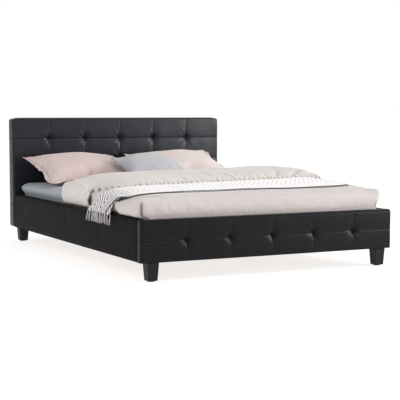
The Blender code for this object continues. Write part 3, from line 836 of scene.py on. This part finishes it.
def make_duvet_body():
    side = RAIL_INNER - TUCK_CLEARANCE
    foot = FOOT_HIGH.y + TUCK_CLEARANCE
    low = (-side, foot, RAIL_TOP - TUCK_DEPTH)
    high = (side, FOLD_HEAD_Y - 0.11, DUVET_LEVEL)
    open_sides = [(2, -1), (1, 1)]
    builder = rounded_block(low, high, DUVET_RADIUS, (0.013, 0.013, 0.011), open_sides, segments=8)
    points, normals = points_and_normals(builder)
    facing_side, facing_end, facing_top = np.abs(normals).T
    x, y, z = points.T.copy()
    above = np.clip((z - RAIL_TOP) / (DUVET_LEVEL - RAIL_TOP), 0, 1)

    # The sides bulge, and lean out over the left rail towards the foot.
    bulge = np.sin(math.pi * above**0.85)
    outward = np.clip(facing_side, 0, 1) * rise(np.abs(x), *AT_SIDE)
    under_fold = rise(y, FOLD_FREE_Y - 0.02, FOLD_FREE_Y + 0.10)
    plump = (0.4 + 0.6 * rise(-x, 0, 0.6)) * (1 - under_fold) * rise(y, -1.02, -0.93)
    x = x + np.sign(x) * outward * bulge * (SIDE_BULGE * plump + 0.004)
    over_rail = rise(-x, *AT_SIDE) * rise(z, RAIL_TOP, RAIL_TOP + 0.012)
    low_lean = 0.5 * (1 - above) * (1 - rise(-y, 0.84, 0.93))
    lean_out = LEAN_OUT * rise(-y, 0.71, 0.80) * (1 + low_lean) + CORNER_LEAN * rise(-y, 0.90, 0.985)
    x = x - lean_out * over_rail * rise(-x, 0.655, 0.70)
    z = z - LEFT_EDGE_DROP * rise(-x, 0.60, 0.70) * rise(above, 0.5, 1.0) * rise(y, -1.00, -0.90)
    x = x + RIGHT_EDGE_PLUMP * rise(x, 0.62, 0.70) * rise(above, 0.2, 0.6)
    towards_foot = np.clip(-normals[:, 1], 0, 1)
    y = y - towards_foot * bulge * FOOT_BULGE
    lifted = rise(above, 0.55, 1.0)
    z = z + lifted * (duvet_top(x, y) - DUVET_LEVEL)
    right_corner = rise(x, 0.63, 0.70) * rise(-y, 0.95, 1.01) * rise(above, 0.45, 0.9)
    x, y, z = x + 0.012 * right_corner, y - 0.006 * right_corner, z + 0.005 * right_corner

    # The folded corners leave a crease, with the flap behind it standing a little proud.
    upright = np.clip(1 - 2.5 * facing_top, 0, 1) * rise(np.abs(x), *AT_SIDE)
    upright = upright * rise(-y, 0.90, 0.96)
    crease = upright * np.exp(-(((facing_end - CREASE_FACING) / 0.06) ** 2))
    short_at_right = 1 - rise(x, 0, 0.1) * rise(above, 0.3, 0.6)
    crease = crease * rise(above, 0.0, 0.03) * rise(-above, -1.0, -0.88) * short_at_right
    flap = upright * np.exp(-(((facing_end - 1.0) / 0.03) ** 2)) * np.exp(-(((x + 0.700) / 0.03) ** 2))
    y = y + CREASE_DEPTH * crease - FLAP_PROUD * flap * (1 - above)
    x = x - np.sign(x) * CREASE_PINCH * crease

    wide = 0.0025 * wrinkle(np.stack([x, y * 0.6, z], axis=1), 0.24)
    narrow = 0.0006 * wrinkle(np.stack([x * 0.5, y, z], axis=1), 0.055, 7.0)
    relief = (wide + narrow) * rise(above, 0.2, 0.7)
    put_points(builder, np.stack([x, y, z], axis=1) + normals * relief[:, None])
    body = piece_from(builder, "duvet_body", BLUSH_COTTON)
    # The crease is also darkened with painted shade, through the cloth's crease mark.
    mark(body, "painted_crease_shade", np.clip(1.2 * crease**2, 0, 1))

    x, y, z = mesh_points(body).T
    held = 1 - rise(z, RAIL_TOP - 0.005, RAIL_TOP + 0.03)
    held = np.maximum(held, rise(y, FOLD_FREE_Y + 0.02, FOLD_FREE_Y + 0.10))
    held = np.maximum(held, rise(-y, 0.93, 0.97) * rise(-x, 0.64, 0.69))
    settle_cloth(body, held, swell=1.0, slack=0.008, cap=0.005)
    add_wall(body, DUVET_WALL)
    soften(body)
    upholster(body, "duvet", "duvet")
    return body


DUVET_BODY = make_duvet_body()


# ---------------- duvet fold
# The duvet's head end is folded back over itself. It makes a deep soft roll at the head,
# thins towards its hemmed free edge, and drops over both sides as far as the rails.

FOLD_SIDE = 0.737
FOLD_RISE = 0.010
HEM_RISE = 0.034
HEM_PUCKER = 0.0050
PUCKER_PITCH = 0.029
FOLD_BLOCK_HIGH = 0.20
FOLD_SHOWS_X = 0.690
FOLD_WALL = 0.008
LEFT_SAG = 0.020
RIGHT_SAG = 0.006
HEAD_DROP = 0.034
HEM_THICK = 0.006
HEM_SEAM_SHARE = 0.055
HEM_SEAM_DEPTH = 0.0035
EDGE_DRAWN_BACK = 0.085
CORNER_DRAWN_BACK = 0.075
RIGHT_EDGE_SPREAD = 0.035
ROLL_SPREAD = 0.092
FOLD_SIDE_TUCK = 0.014
# The fold's cotton is a lighter copy of the duvet's, painted lighter for the light that falls on the fold.
FOLD_COTTON = cotton("cotton_sateen_painted_lit", "#d3cdc9", "#cac2bd", crumple=15.0, depth=0.0026)


def fold_top(x, share):
    """The fold's height: x across the bed, share 0 at its free edge and 1 at the head."""
    steep = 1 - np.exp(-share / 0.07)
    height = duvet_top(x, FOLD_FREE_Y) + HEM_THICK + HEM_RISE * steep
    height = height + FOLD_RISE * np.minimum(share / 0.9, 1)
    height = height - LEFT_SAG * rise(-x, 0.35, 0.74) - RIGHT_SAG * rise(x, 0.66, 0.74)
    return height - HEAD_DROP * np.clip((share - 0.84) / 0.16, 0, 1) ** 3


def make_duvet_fold():
    base = RAIL_TOP + 0.0040
    low, high = (-FOLD_SIDE, FOLD_FREE_Y, 0.0), (FOLD_SIDE, FOLD_HEAD_Y, FOLD_BLOCK_HIGH)
    builder = rounded_block(low, high, 0.030, (0.0075, 0.009, 0.010), [(2, -1)], segments=6)
    points, normals = points_and_normals(builder)
    x, y, z = points.T.copy()
    share = np.clip((y - FOLD_FREE_Y) / (FOLD_HEAD_Y - FOLD_FREE_Y), 0, 1)

    # The free edge is drawn back at the left, and the roll spreads at both sides.
    drawn = rise(-x, 0.52, 0.735)
    corner = rise(-x, 0.50, 0.68) * rise(x, -0.738, -0.700)
    drawn_back = EDGE_DRAWN_BACK * drawn + CORNER_DRAWN_BACK * corner
    y = y + (1 - share) * (drawn_back - RIGHT_EDGE_SPREAD * rise(x, 0.50, 0.735))
    y = y - share * ROLL_SPREAD * rise(np.abs(x), 0.50, 0.735)
    top = fold_top(x, share)
    z = base + (z / FOLD_BLOCK_HIGH) ** 0.9 * (top - base)
    high_share = np.clip((z - base) / (top - base), 0, 1)
    sides = np.clip(np.abs(normals[:, 0]), 0, 1) * rise(np.abs(x), 0.62, 0.72)
    tucked_in = 1 - np.sin(math.pi * np.clip(high_share, 0, 1) ** 0.8)
    x = x - np.sign(x) * sides * FOLD_SIDE_TUCK * tucked_in

    # The hem is gathered, in puckers that come and go along it, above its line of stitching.
    along_hem = x + 0.6 * (1 - high_share) * 0.1
    beat = 0.55 + 0.65 * wrinkle(np.stack([along_hem, y * 0, z * 0], axis=1), 0.11, 5.0)
    beat = beat + 0.45 * rise(-x, 0.2, 0.5)
    along = along_hem * 2 * math.pi / PUCKER_PITCH + 5.0 * wrinkle(points, 0.09, 3.0)
    ruffle = np.cos(along) * np.exp(-share / 0.028)
    ruffle = ruffle + 0.25 * np.cos(along * 0.5 + 1.0) * np.exp(-share / 0.07)
    seam_line = np.exp(-(((share - HEM_SEAM_SHARE) / 0.010) ** 2))
    pucker = HEM_PUCKER * beat * ruffle - HEM_SEAM_DEPTH * seam_line
    wide = 0.0055 * wrinkle(np.stack([x * 0.7, y, z], axis=1), 0.17, 2.0)
    narrow = 0.0020 * wrinkle(np.stack([x, y * 0.40, z * 0.4], axis=1), 0.048, 9.0)
    relief = pucker + (wide + narrow) * rise(share, 0.02, 0.25)
    put_points(builder, np.stack([x, y, z], axis=1) + normals * relief[:, None])
    # Painted shade: the hem's gathers, and the very free edge at the left side, are marked to be darkened
    # for the shade in them.
    gather_shade = 1.3 * np.clip(-np.cos(along) - 0.1, 0, 1) * beat * np.exp(-(((share - 0.02) / 0.03) ** 2))
    gather_shade = gather_shade + rise(-x, 0.66, 0.72) * np.exp(-share / 0.014)
    shade_layer = builder.verts.layers.float.new("painted_crease_shade")
    for vert, value in zip(builder.verts, gather_shade):
        vert[shade_layer] = value

    # What the fold would hide inside the duvet or the mattress is left out.
    hidden = []
    for face in builder.faces:
        middle = face.calc_center_median()
        under = middle.z < duvet_top(middle.x, middle.y) - 0.020 and face.normal.y < -0.5
        sunk = middle.z < MATTRESS_HIGH.z + 0.004 and face.normal.y > 0.5
        if abs(middle.x) < FOLD_SHOWS_X and (under or sunk):
            hidden.append(face)
    bmesh.ops.delete(builder, geom=hidden, context="FACES")
    fold = piece_from(builder, "duvet_fold", FOLD_COTTON)
    _, y, z = mesh_points(fold).T
    held = np.maximum(1 - rise(z, base, base + 0.03), 1 - rise(y, FOLD_FREE_Y, FOLD_FREE_Y + 0.03))
    settle_cloth(fold, held, swell=1.6, slack=0.022, cap=0.011)
    add_wall(fold, FOLD_WALL)
    soften(fold)
    upholster(fold, "duvet", "duvet")


make_duvet_fold()


# ---------------- throw
# A cotton throw woven in a herringbone of white on grey, folded once along its length and
# laid across the bed against the duvet's fold. Its cut edges are whipped in charcoal yarn,
# painted dark enough to stand also for the shadow along the edges of the layers.

THROW_BACK_Y = FOLD_FREE_Y + 0.030
THROW_FRONT_Y = -0.700
THROW_CLOTH = 0.0022
THROW_END = (0.7655, RAIL_TOP - 0.004)
THROW_LIFT = 0.0016
UPPER_LIFT = 0.0034
LOWER_EDGE_SHOWS = 0.004
THROW_SLANT = 0.130
THROW_WAVES = (0.006, 0.004)
END_RIPPLE = 0.0030
THROW_ROWS = 56
THROW_COLUMNS = 170
DROP_COLUMNS = 24
CHEVRON_WIDTH = 0.150
TWILL_LINE = 0.030
TWILL_STEEPNESS = 0.75
DROP_START = 0.640
HANG_FROM = 0.66
DROP_ROUTE = [(DROP_START, 0.410), (0.700, 0.394), (0.731, 0.372), (0.748, 0.348), (0.760, 0.326)]
DROP_ROUTE.append(THROW_END)

# How far each line along the throw shifts towards the head, by its distance from the middle:
# the fold at the back, the front edges, and what the upper layer's edge adds to that.
BACK_SHIFT = ([0.50, 0.62, 0.68, 0.735, 0.75, 0.77], [0.0, 0.030, 0.025, -0.025, -0.035, 0.010])
FRONT_SHIFT = ([0.60, 0.70, 0.735, 0.755, 0.77], [0.0, 0.016, 0.014, 0.010, -0.004])
UPPER_SHIFT = ([0.68, 0.735, 0.755, 0.77], [0.008, 0.012, 0.040, 0.072])


def run_along(points):
    """How far along a line of points each one lies."""
    return np.concatenate([[0], np.cumsum(np.linalg.norm(np.diff(points, axis=0), axis=1))])


def route_points(route, count):
    """Points evenly spaced along a smooth curve through the route's own points."""
    padded = [route[0], *route, route[-1]]
    fine = []
    for a, b, c, d in zip(padded, padded[1:], padded[2:], padded[3:]):
        for step in np.linspace(0, 1, 12, endpoint=False):
            weights = (
                -0.5 * step**3 + step**2 - 0.5 * step,
                1.5 * step**3 - 2.5 * step**2 + 1,
                -1.5 * step**3 + 2 * step**2 + 0.5 * step,
                0.5 * step**3 - 0.5 * step**2,
            )
            fine.append(sum(w * np.array(p) for w, p in zip(weights, (a, b, c, d))))
    fine.append(np.array(route[-1]))
    fine = np.array(fine)
    run = run_along(fine)
    even = np.linspace(0, run[-1], count)
    return np.stack([np.interp(even, run, fine[:, i]) for i in range(fine.shape[1])], axis=1)


def throw_weave_material():
    """Herringbone twill: white floats on a grey ground, in chevrons 150 mm wide.

    The real twill lines are about 5 mm apart. They are drawn 24 mm apart, across their
    slant, so that they show. The grey ground is painted lighter where the throw lies flat and
    darker where it hangs, for the light on its top and the shade down its sides.
    """
    twill = new_material(
        "cotton_herringbone_twill", Roughness=0.92, Specular_IOR_Level=0.15, Sheen_Weight=0.6
    )
    cloth_uv = add_node(twill, "UVMap", {"uv_map": "cloth"})
    along = add_node(twill, "SeparateXYZ", out="X", Vector=cloth_uv)
    across = along.node.outputs["Y"]
    zigzag = add_node(twill, "Math", {"operation": "PINGPONG"}, _0=across, _1=CHEVRON_WIDTH)
    steep = add_node(twill, "Math", {"operation": "MULTIPLY"}, _0=zigzag, _1=TWILL_STEEPNESS)
    slant = add_node(twill, "Math", {"operation": "SUBTRACT"}, _0=along, _1=steep)
    turns = add_node(twill, "Math", {"operation": "MULTIPLY"}, _0=slant, _1=2 * math.pi / TWILL_LINE)
    wave = add_node(twill, "Math", {"operation": "SINE"}, _0=turns)
    smooth = {"interpolation_type": "SMOOTHSTEP"}
    floats = add_node(twill, "MapRange", smooth, Value=wave, From_Min=-0.55, From_Max=0.45)
    place = add_node(twill, "TexCoord", out="Object")
    fluff = add_node(twill, "TexNoise", out="Color", Vector=place, Scale=240.0, Detail=3.0)
    # Painted light and shade: the ground grey is light where the throw lies flat and dark where it hangs
    # over the rails.
    painted_hang_shade = add_node(twill, "Attribute", {"attribute_name": "painted_hang_shade"}, "Fac")
    lit_flat_grey, shaded_hanging_grey = linear("#c6c0c1"), linear("#4b4448")
    ground = add_node(twill, "Mix", COLOURS, COLOUR_OUT, _0=painted_hang_shade, _6=lit_flat_grey, _7=shaded_hanging_grey)
    woven = add_node(twill, "Mix", COLOURS, COLOUR_OUT, _0=floats, _6=ground, _7=linear("#f6f1f0"))
    darken = COLOURS | {"blend_type": "MULTIPLY"}
    soft = add_node(twill, "Mix", darken, COLOUR_OUT, _0=0.25, _6=woven, _7=fluff)
    # The cut edges' charcoal is partly the whipping yarn and partly painted shadow along the layers' edges.
    edge = add_node(twill, "Attribute", {"attribute_name": "edge_yarn_and_shadow"}, "Fac")
    whipped_and_shadowed = add_node(twill, "MapRange", Value=edge, From_Min=0.35, From_Max=0.55)
    yarn = add_node(twill, "Mix", COLOURS, COLOUR_OUT, _0=whipped_and_shadowed, _6=soft, _7=linear("#1d1b1d"))
    bump = add_node(twill, "Bump", Height=floats, Strength=0.5, Distance=0.0009)
    feed(twill, Base_Color=yarn, Normal=bump)
    return twill


THROW_TWILL = throw_weave_material()


def throw_row(share):
    """Where a line along the throw lies: its y, its height over what is below it, how far it
    is from the cut edges to the fold, and whether it is in the upper layer.

    share 0 and 1 are the two cut edges, at the front, and 0.5 is the fold between the layers.
    """
    upper = share > 0.5
    across = 1 - abs(2 * share - 1)
    front = THROW_FRONT_Y - (0.0 if upper else LOWER_EDGE_SHOWS)
    y = front + (THROW_BACK_Y - front) * across
    lift = THROW_LIFT + (UPPER_LIFT if upper else 0.0) * min(1.0, (1 - across) / 0.06)
    return y, lift, across, upper


def lay_throw():
    """The throw's points by column and row, resting on the duvet and hanging past the rails."""
    below = BVHTree.FromObject(DUVET_BODY, bpy.context.evaluated_depsgraph_get())
    drop = route_points(DROP_ROUTE, DROP_COLUMNS)
    flat_xs = np.linspace(-DROP_START, DROP_START, THROW_COLUMNS - 2 * DROP_COLUMNS + 2)[1:-1]
    left, right = [(-x, z, True) for x, z in drop[::-1]], [(x, z, True) for x, z in drop]
    route = left + [(x, 0, False) for x in flat_xs] + right
    places = {}
    for row in range(THROW_ROWS):
        y, lift, across, upper = throw_row(row / (THROW_ROWS - 1))
        for column, (x, z, dropping) in enumerate(route):
            hang = max(0.0, (abs(x) - HANG_FROM) / (THROW_END[0] - HANG_FROM))
            front = np.interp(abs(x), *FRONT_SHIFT) + (np.interp(abs(x), *UPPER_SHIFT) if upper else 0.0)
            lean = -THROW_SLANT * (1 - across) * rise(x, -0.5, 0.72)
            flare = across * np.interp(abs(x), *BACK_SHIFT) + (1 - across) * front + lean
            wave = THROW_WAVES[0] * math.sin(7.5 * x + (1.9 if upper else 0.0)) * (1 - across)
            wave += THROW_WAVES[1] * math.sin(17 * x + (0.7 if upper else 2.6)) * (1 - across)
            row_y = y + flare + wave * (1 - hang)
            seen = below.ray_cast(Vector((x, row_y, 0.7)), Vector((0, 0, -1)))[0]
            rest_z = seen.z if seen else duvet_top(x, row_y)
            if dropping:
                ease = min(1.0, (abs(x) - DROP_START) / 0.05)
                height = rest_z * (1 - ease) + z * ease if abs(x) < 0.69 else z
                ripple = END_RIPPLE * math.sin(row_y * 46 + 1.2) * hang**2
                out = math.copysign(lift * ease + max(0, ripple), x)
                places[(column, row)] = (x + out, row_y, height + lift)
            else:
                places[(column, row)] = (x, row_y, rest_z + lift)
    return places, [abs(x) for x, _, _ in route]


def make_throw():
    places, from_middle = lay_throw()
    builder = bmesh.new()
    uv = builder.loops.layers.uv.new("cloth")
    bmesh.ops.create_grid(builder, x_segments=THROW_COLUMNS - 1, y_segments=THROW_ROWS - 1, size=0.5)
    steps = {}
    for vert in builder.verts:
        column = round((vert.co.x + 0.5) * (THROW_COLUMNS - 1))
        row = round((vert.co.y + 0.5) * (THROW_ROWS - 1))
        steps[vert.index] = (column, row)
        vert.co = places[(column, row)]
    length = run_along(np.array([places[(column, THROW_ROWS // 4)] for column in range(THROW_COLUMNS)]))
    width = run_along(np.array([places[(THROW_COLUMNS // 2, row)] for row in range(THROW_ROWS)]))
    for face in builder.faces:
        for loop in face.loops:
            column, row = steps[loop.vert.index]
            loop[uv].uv = (length[column], width[row])
    throw = piece_from(builder, "throw_cloth", THROW_TWILL)
    mark(throw, "edge_yarn_and_shadow", [float(row in (0, THROW_ROWS - 1)) for _, row in steps.values()])
    mark(throw, "painted_hang_shade", [rise(from_middle[column], 0.60, 0.69) for column, _ in steps.values()])
    add_wall(throw, THROW_CLOTH, offset=0.0)
    return throw, places, float(length[-1]), float(width[-1])


THROW, THROW_PLACES, THROW_LENGTH, THROW_WIDTH = make_throw()


# ---------------- throw's fringe
# The throw's warp ends are knotted in bunches along both hems and hang down the rails, four
# loose yarns to a knot. Each bunch leans its own way.

TASSEL_LENGTH = 0.054
TASSEL_RADIUS = 0.0015
KNOT_RADIUS = 0.0032
TASSEL_ROWS = 3
YARNS_PER_KNOT = 4
YARN_SPACING = 0.0012

# Loose cotton yarn: off-white, with the twist of its plies drawn 3 mm apart.
FRINGE_YARN = new_material("cotton_yarn_fringe", Roughness=0.9, Specular_IOR_Level=0.15)
PLIES = {"settings": DIAGONAL, "out": "Fac", "Scale": 100.0}
textured(FRINGE_YARN, "TexWave", ("#8d8683", "#f6f4f2"), (0.5, 0.0006), **PLIES)


def add_strand(builder, start, lean, length, radius):
    """One hanging bunch of yarn: a thin cone that leans and swings a little."""
    foot = start + Vector((lean.x, lean.y, -length))
    turn = (foot - start).to_track_quat("-Z", "Y").to_matrix().to_4x4()
    bmesh.ops.create_cone(
        builder,
        cap_ends=True,
        segments=5,
        radius1=radius * 0.55,
        radius2=radius,
        depth=(foot - start).length,
        matrix=Matrix.Translation((start + foot) / 2) @ turn,
    )


def make_fringe(side, column):
    builder = bmesh.new()
    sign = -1 if side == "left" else 1
    swing = np.random.default_rng(4 if side == "left" else 9)
    for row in range(0, THROW_ROWS, TASSEL_ROWS):
        x, y, z = THROW_PLACES[(column, row)]
        knot = Vector((x + sign * 0.0012, y + swing.uniform(-0.002, 0.002), z - 0.002))
        at_knot = Matrix.Translation(knot)
        bmesh.ops.create_icosphere(builder, subdivisions=1, radius=KNOT_RADIUS, matrix=at_knot)
        for strand in range(YARNS_PER_KNOT):
            lean = Vector((sign * swing.uniform(0.0, 0.003), swing.uniform(-0.014, 0.028), 0))
            offset = Vector((0, (strand - 1.5) * YARN_SPACING, -0.001))
            length = TASSEL_LENGTH * swing.uniform(0.84, 1.0)
            add_strand(builder, knot + offset, lean, length, TASSEL_RADIUS)
    fringe = piece_from(builder, f"throw_fringe_{side}", FRINGE_YARN)
    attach(fringe, "throw")
    return fringe


FRINGES = [make_fringe("left", 0), make_fringe("right", THROW_COLUMNS - 1)]
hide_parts("throw")
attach(THROW, "throw")


# ---------------- pillows
# Two feather pillows in pink cotton cases. Each case is sewn round its filling inside a flat
# border, so the filled part swells and the border stands off its seam in soft waves.

PILLOW_FLANGE = 0.034
CASE_CELLS = (46, 36)
EASE = 1.06
SEAM_ZONE = 0.012
BORDER_STEPS = 4
PLEAT_PITCH = 0.026
PLEAT_DEPTH = 0.0046
# The right pillow's case is a lighter copy of the left's pink cotton, painted lighter for the light from
# the right.
PILLOW_PINK_PAINTED_LIT = cotton("cotton_percale_pink_painted_lit", "#d8cdca", "#cdbfbb", crumple=19.0, depth=0.0022)
PILLOW_PINK = cotton("cotton_percale_pink", "#cebdb8", "#c2ada8", crumple=19.0, depth=0.0022)


def sewn_case(width, depth, cells):
    """Two flat panels sewn together round their edges, as a closed mesh."""
    builder = bmesh.new()
    for side in (1, -1):
        made = bmesh.ops.create_grid(builder, x_segments=cells[0], y_segments=cells[1], size=0.5)["verts"]
        for vert in made:
            x, y = vert.co.x * 2, vert.co.y * 2
            vert.co = (x * width / 2, y * depth / 2, side * 0.062 * (1 - x**4) ** 0.8 * (1 - y**4) ** 0.8)
        if side < 0:
            faces = {face for vert in made for face in vert.link_faces}
            bmesh.ops.reverse_faces(builder, faces=list(faces))
    bmesh.ops.remove_doubles(builder, verts=builder.verts, dist=1e-5)
    bmesh.ops.recalc_face_normals(builder, faces=builder.faces)
    return builder


def stuff_case(piece, swell, frames):
    """Blows the sewn case up by cloth simulation, so that its seams draw in and pucker."""
    points = run_cloth(
        piece,
        frames,
        quality=5,
        mass=0.2,
        tension_stiffness=22,
        compression_stiffness=22,
        shear_stiffness=10,
        bending_stiffness=0.9,
        air_damping=3,
        uniform_pressure_force=swell,
    )
    return points


def press_against(values, limit, soft=0.010):
    """Keeps values from passing a limit, and eases the last of them up to it."""
    past = np.clip(values - limit + soft, 0, None)
    return np.minimum(values, limit - soft * np.exp(-past / soft))


def make_pillow(name, node, size, place, tilt, turn, spin, material, border=0.0, rests_on=()):
    """A stuffed case. It is spun flat, tilted against the headboard, then turned on the bed."""
    width, depth, _ = size
    piece = piece_from(sewn_case(width * EASE, depth * EASE, CASE_CELLS), name, material)
    points = stuff_case(piece, swell=4.0, frames=22)
    spread = points.max(axis=0) - points.min(axis=0)
    piece.data.vertices.foreach_set("co", (points * np.array(size) / spread).ravel())
    builder = bmesh.new()
    builder.from_mesh(piece.data)
    inner = [vert for vert in builder.verts if abs(vert.co.z) > SEAM_ZONE]
    every_way = {"use_axis_x": True, "use_axis_y": True, "use_axis_z": True}
    for _ in range(16):
        bmesh.ops.smooth_vert(builder, verts=inner, factor=0.5, **every_way)
    bmesh.ops.subdivide_edges(builder, edges=builder.edges[:], cuts=1, use_grid_fill=True, smooth=0.8)
    pleat_seams(builder, width, depth)
    if border:
        add_border(builder, width, depth, border)
    turned = Matrix.Rotation(math.radians(turn), 4, "Z") @ Matrix.Rotation(math.radians(tilt), 4, "X")
    layout = Matrix.Translation(place) @ turned @ Matrix.Rotation(math.radians(spin), 4, "Z")
    bmesh.ops.transform(builder, matrix=layout, verts=builder.verts)
    points, _ = points_and_normals(builder)
    points[:, 2] = -press_against(-points[:, 2], -MATTRESS_HIGH.z - 0.0015)
    points[:, 1] = press_against(points[:, 1], HEAD_FACE - CROWN - 0.006)
    for lower in rests_on:
        points = lift_clear(points, lower)
    put_points(builder, points)
    builder.to_mesh(piece.data)
    builder.free()
    piece.data.shade_smooth()
    soften(piece)
    upholster(piece, node, node)
    return piece


def pleat_seams(builder, width, depth):
    """Fine pleats that run in from the seam, where the panels are eased onto each other."""
    points, normals = points_and_normals(builder)
    x, y = points[:, 0], points[:, 1]
    to_end = width / 2 - np.abs(x)
    to_side = depth / 2 - np.abs(y)
    across = x * 2 * math.pi / PLEAT_PITCH + 2.5 * wrinkle(points, 0.10, 1.0)
    along = y * 2 * math.pi / PLEAT_PITCH + 2.5 * wrinkle(points, 0.10, 6.0)
    from_side = np.cos(across) * np.exp(-to_side / 0.060)
    from_end = np.cos(along) * np.exp(-to_end / 0.050)
    patchy = 0.5 + 0.5 * wrinkle(points, 0.13, 8.0)
    soft = 0.0035 * wrinkle(points, 0.15, 2.0)
    relief = PLEAT_DEPTH * patchy * (from_side + from_end) + soft
    put_points(builder, points + normals * relief[:, None])


def lift_clear(points, lower):
    """Raises the points that would sink into a piece below, and leaves a small gap."""
    surface = BVHTree.FromObject(lower, bpy.context.evaluated_depsgraph_get())
    least = points[:, 2].min()
    for point in points:
        seen = surface.ray_cast(Vector((point[0], point[1], 0.9)), Vector((0, 0, -1)))[0]
        if seen:
            gap = 0.003 + 0.12 * (point[2] - least)
            point[2] = max(point[2], seen.z + gap)
    return points


def add_border(builder, width, depth, border):
    """Sews a flat border on: a thin ring of cloth that starts inside the seam."""
    outline = outline_of(builder)
    ring = bmesh.new()
    inner = [ring.verts.new(point) for point in outline]
    loops = [ring.edges.new((a, b)) for a, b in zip(inner, inner[1:] + inner[:1])]
    for step in range(BORDER_STEPS):
        swept = bmesh.ops.extrude_edge_only(ring, edges=loops)["geom"]
        loops = [item for item in swept if isinstance(item, bmesh.types.BMEdge)]
        verts = {vert for edge in loops for vert in edge.verts}
        for vert in verts:
            out = Vector((vert.co.x / (width / 2), vert.co.y / (depth / 2)))
            square = Vector([math.copysign(abs(part) ** 6, part) for part in out])
            push = square.normalized() if square.length else out
            wave = 0.0040 * math.sin(vert.co.x * 31 + vert.co.y * 27) * (step + 1) / BORDER_STEPS
            vert.co += Vector((push.x * border / BORDER_STEPS, push.y * border / BORDER_STEPS, wave))
    bmesh.ops.solidify(ring, geom=ring.faces[:], thickness=0.002)
    bmesh.ops.recalc_face_normals(ring, faces=ring.faces)
    scratch = bpy.data.meshes.new("border")
    ring.to_mesh(scratch)
    ring.free()
    builder.from_mesh(scratch)
    bpy.data.meshes.remove(scratch)


def outline_of(builder):
    """The case's seam, as its points in order round the outline."""
    rim = [vert for vert in builder.verts if abs(vert.co.z) < SEAM_ZONE]
    angles = {}
    for vert in rim:
        key = round(math.degrees(math.atan2(vert.co.y, vert.co.x)) / 2.5)
        best = angles.get(key)
        if best is None or vert.co.length > best.length:
            angles[key] = vert.co.copy()
    return [angles[key] * 0.985 for key in sorted(angles)]


PILLOW_LEFT = make_pillow(
    "pillow_left_case",
    "pillow_left",
    size=(0.600, 0.460, 0.170),
    place=(-0.395, 0.705, 0.488),
    tilt=17,
    turn=3,
    spin=0,
    material=PILLOW_PINK,
    border=PILLOW_FLANGE,
)
PILLOW_RIGHT = make_pillow(
    "pillow_right_case",
    "pillow_right",
    size=(0.600, 0.430, 0.165),
    place=(0.325, 0.722, 0.494),
    tilt=20,
    turn=0,
    spin=4,
    material=PILLOW_PINK_PAINTED_LIT,
    border=PILLOW_FLANGE,
)


# ---------------- cushion
# A smaller plain cushion in light grey cotton, with a knife edge and no border, lying
# against the right pillow with one corner over the left one.

CUSHION_GREY = cotton("cotton_linen_light_grey", "#b9b8bb", "#adabb0", crumple=17.0)
make_pillow(
    "cushion_case",
    "cushion",
    size=(0.400, 0.385, 0.125),
    place=(-0.012, 0.456, 0.503),
    tilt=18,
    turn=0,
    spin=9,
    material=CUSHION_GREY,
    rests_on=(PILLOW_LEFT, PILLOW_RIGHT),
)


# ---------------- stage
# A plain pale floor under soft studio light, with the camera at the height of a standing
# person's chest, off the foot's left corner.

CAMERA_PLACE = (-3.0032, -6.1718, 0.8380)
CAMERA_TURN = math.radians(-26.7912)
CAMERA_TILT = math.radians(90 - 4.35)
CAMERA_LENS = 101.5


def make_floor():
    """A white floor that glows a little, so that it stays pale under the bed."""
    builder = bmesh.new()
    bmesh.ops.create_grid(builder, x_segments=1, y_segments=1, size=30.0)
    bmesh.ops.translate(builder, vec=(0, 0, -0.0005), verts=builder.verts)
    paper = new_material(
        "white_studio_paper",
        Base_Color=linear("#a8a8a8"),
        Roughness=0.9,
        Emission_Color=(1, 1, 1, 1),
        Emission_Strength=0.72,
    )
    piece_from(builder, "studio_floor", paper)


def light_world():
    """Even white light, dimmer from the left, as where a studio's left wall is dark."""
    world = bpy.data.worlds.new("studio")
    world.use_nodes = True
    bpy.context.scene.world = world
    from_left = add_node(world, "SeparateXYZ", Vector=add_node(world, "TexCoord", out="Generated"))
    smooth, dim = {"interpolation_type": "SMOOTHSTEP"}, {"To_Min": 0.42, "To_Max": 1.0}
    level = add_node(world, "MapRange", smooth, Value=from_left, From_Min=-0.45, From_Max=0.24, **dim)
    background = world.node_tree.nodes["Background"]
    background.inputs["Color"].default_value = (1, 1, 1, 1)
    world.node_tree.links.new(level, background.inputs["Strength"])


def area_light(name, place, aim, size, power):
    lamp = bpy.data.lights.new(name, "AREA")
    lamp.shape = "RECTANGLE"
    lamp.size, lamp.size_y = size
    lamp.energy = power
    holder = bpy.data.objects.new(name, lamp)
    bpy.context.scene.collection.objects.link(holder)
    holder.location = place
    holder.rotation_euler = (Vector(aim) - Vector(place)).to_track_quat("-Z", "Y").to_euler()


def make_stage():
    make_floor()
    light_world()
    area_light("right_softbox", (4.4, -4.4, 1.3), (0, 0, 0.35), (1.4, 1.2), 132)
    area_light("side_softbox", (4.8, -2.2, 2.2), (0, 0, 0.35), (1.0, 1.0), 92)
    area_light("left_softbox", (-4.0, -1.4, 2.6), (-0.4, -0.2, 0.3), (1.8, 1.8), 70)
    camera_data = bpy.data.cameras.new("camera")
    camera_data.sensor_width = 36
    camera_data.lens = CAMERA_LENS
    camera = bpy.data.objects.new("camera", camera_data)
    bpy.context.scene.collection.objects.link(camera)
    camera.location = CAMERA_PLACE
    camera.rotation_euler = (CAMERA_TILT, 0, CAMERA_TURN)
    bpy.context.scene.camera = camera
    bpy.context.scene.view_settings.view_transform = "Standard"


make_stage()
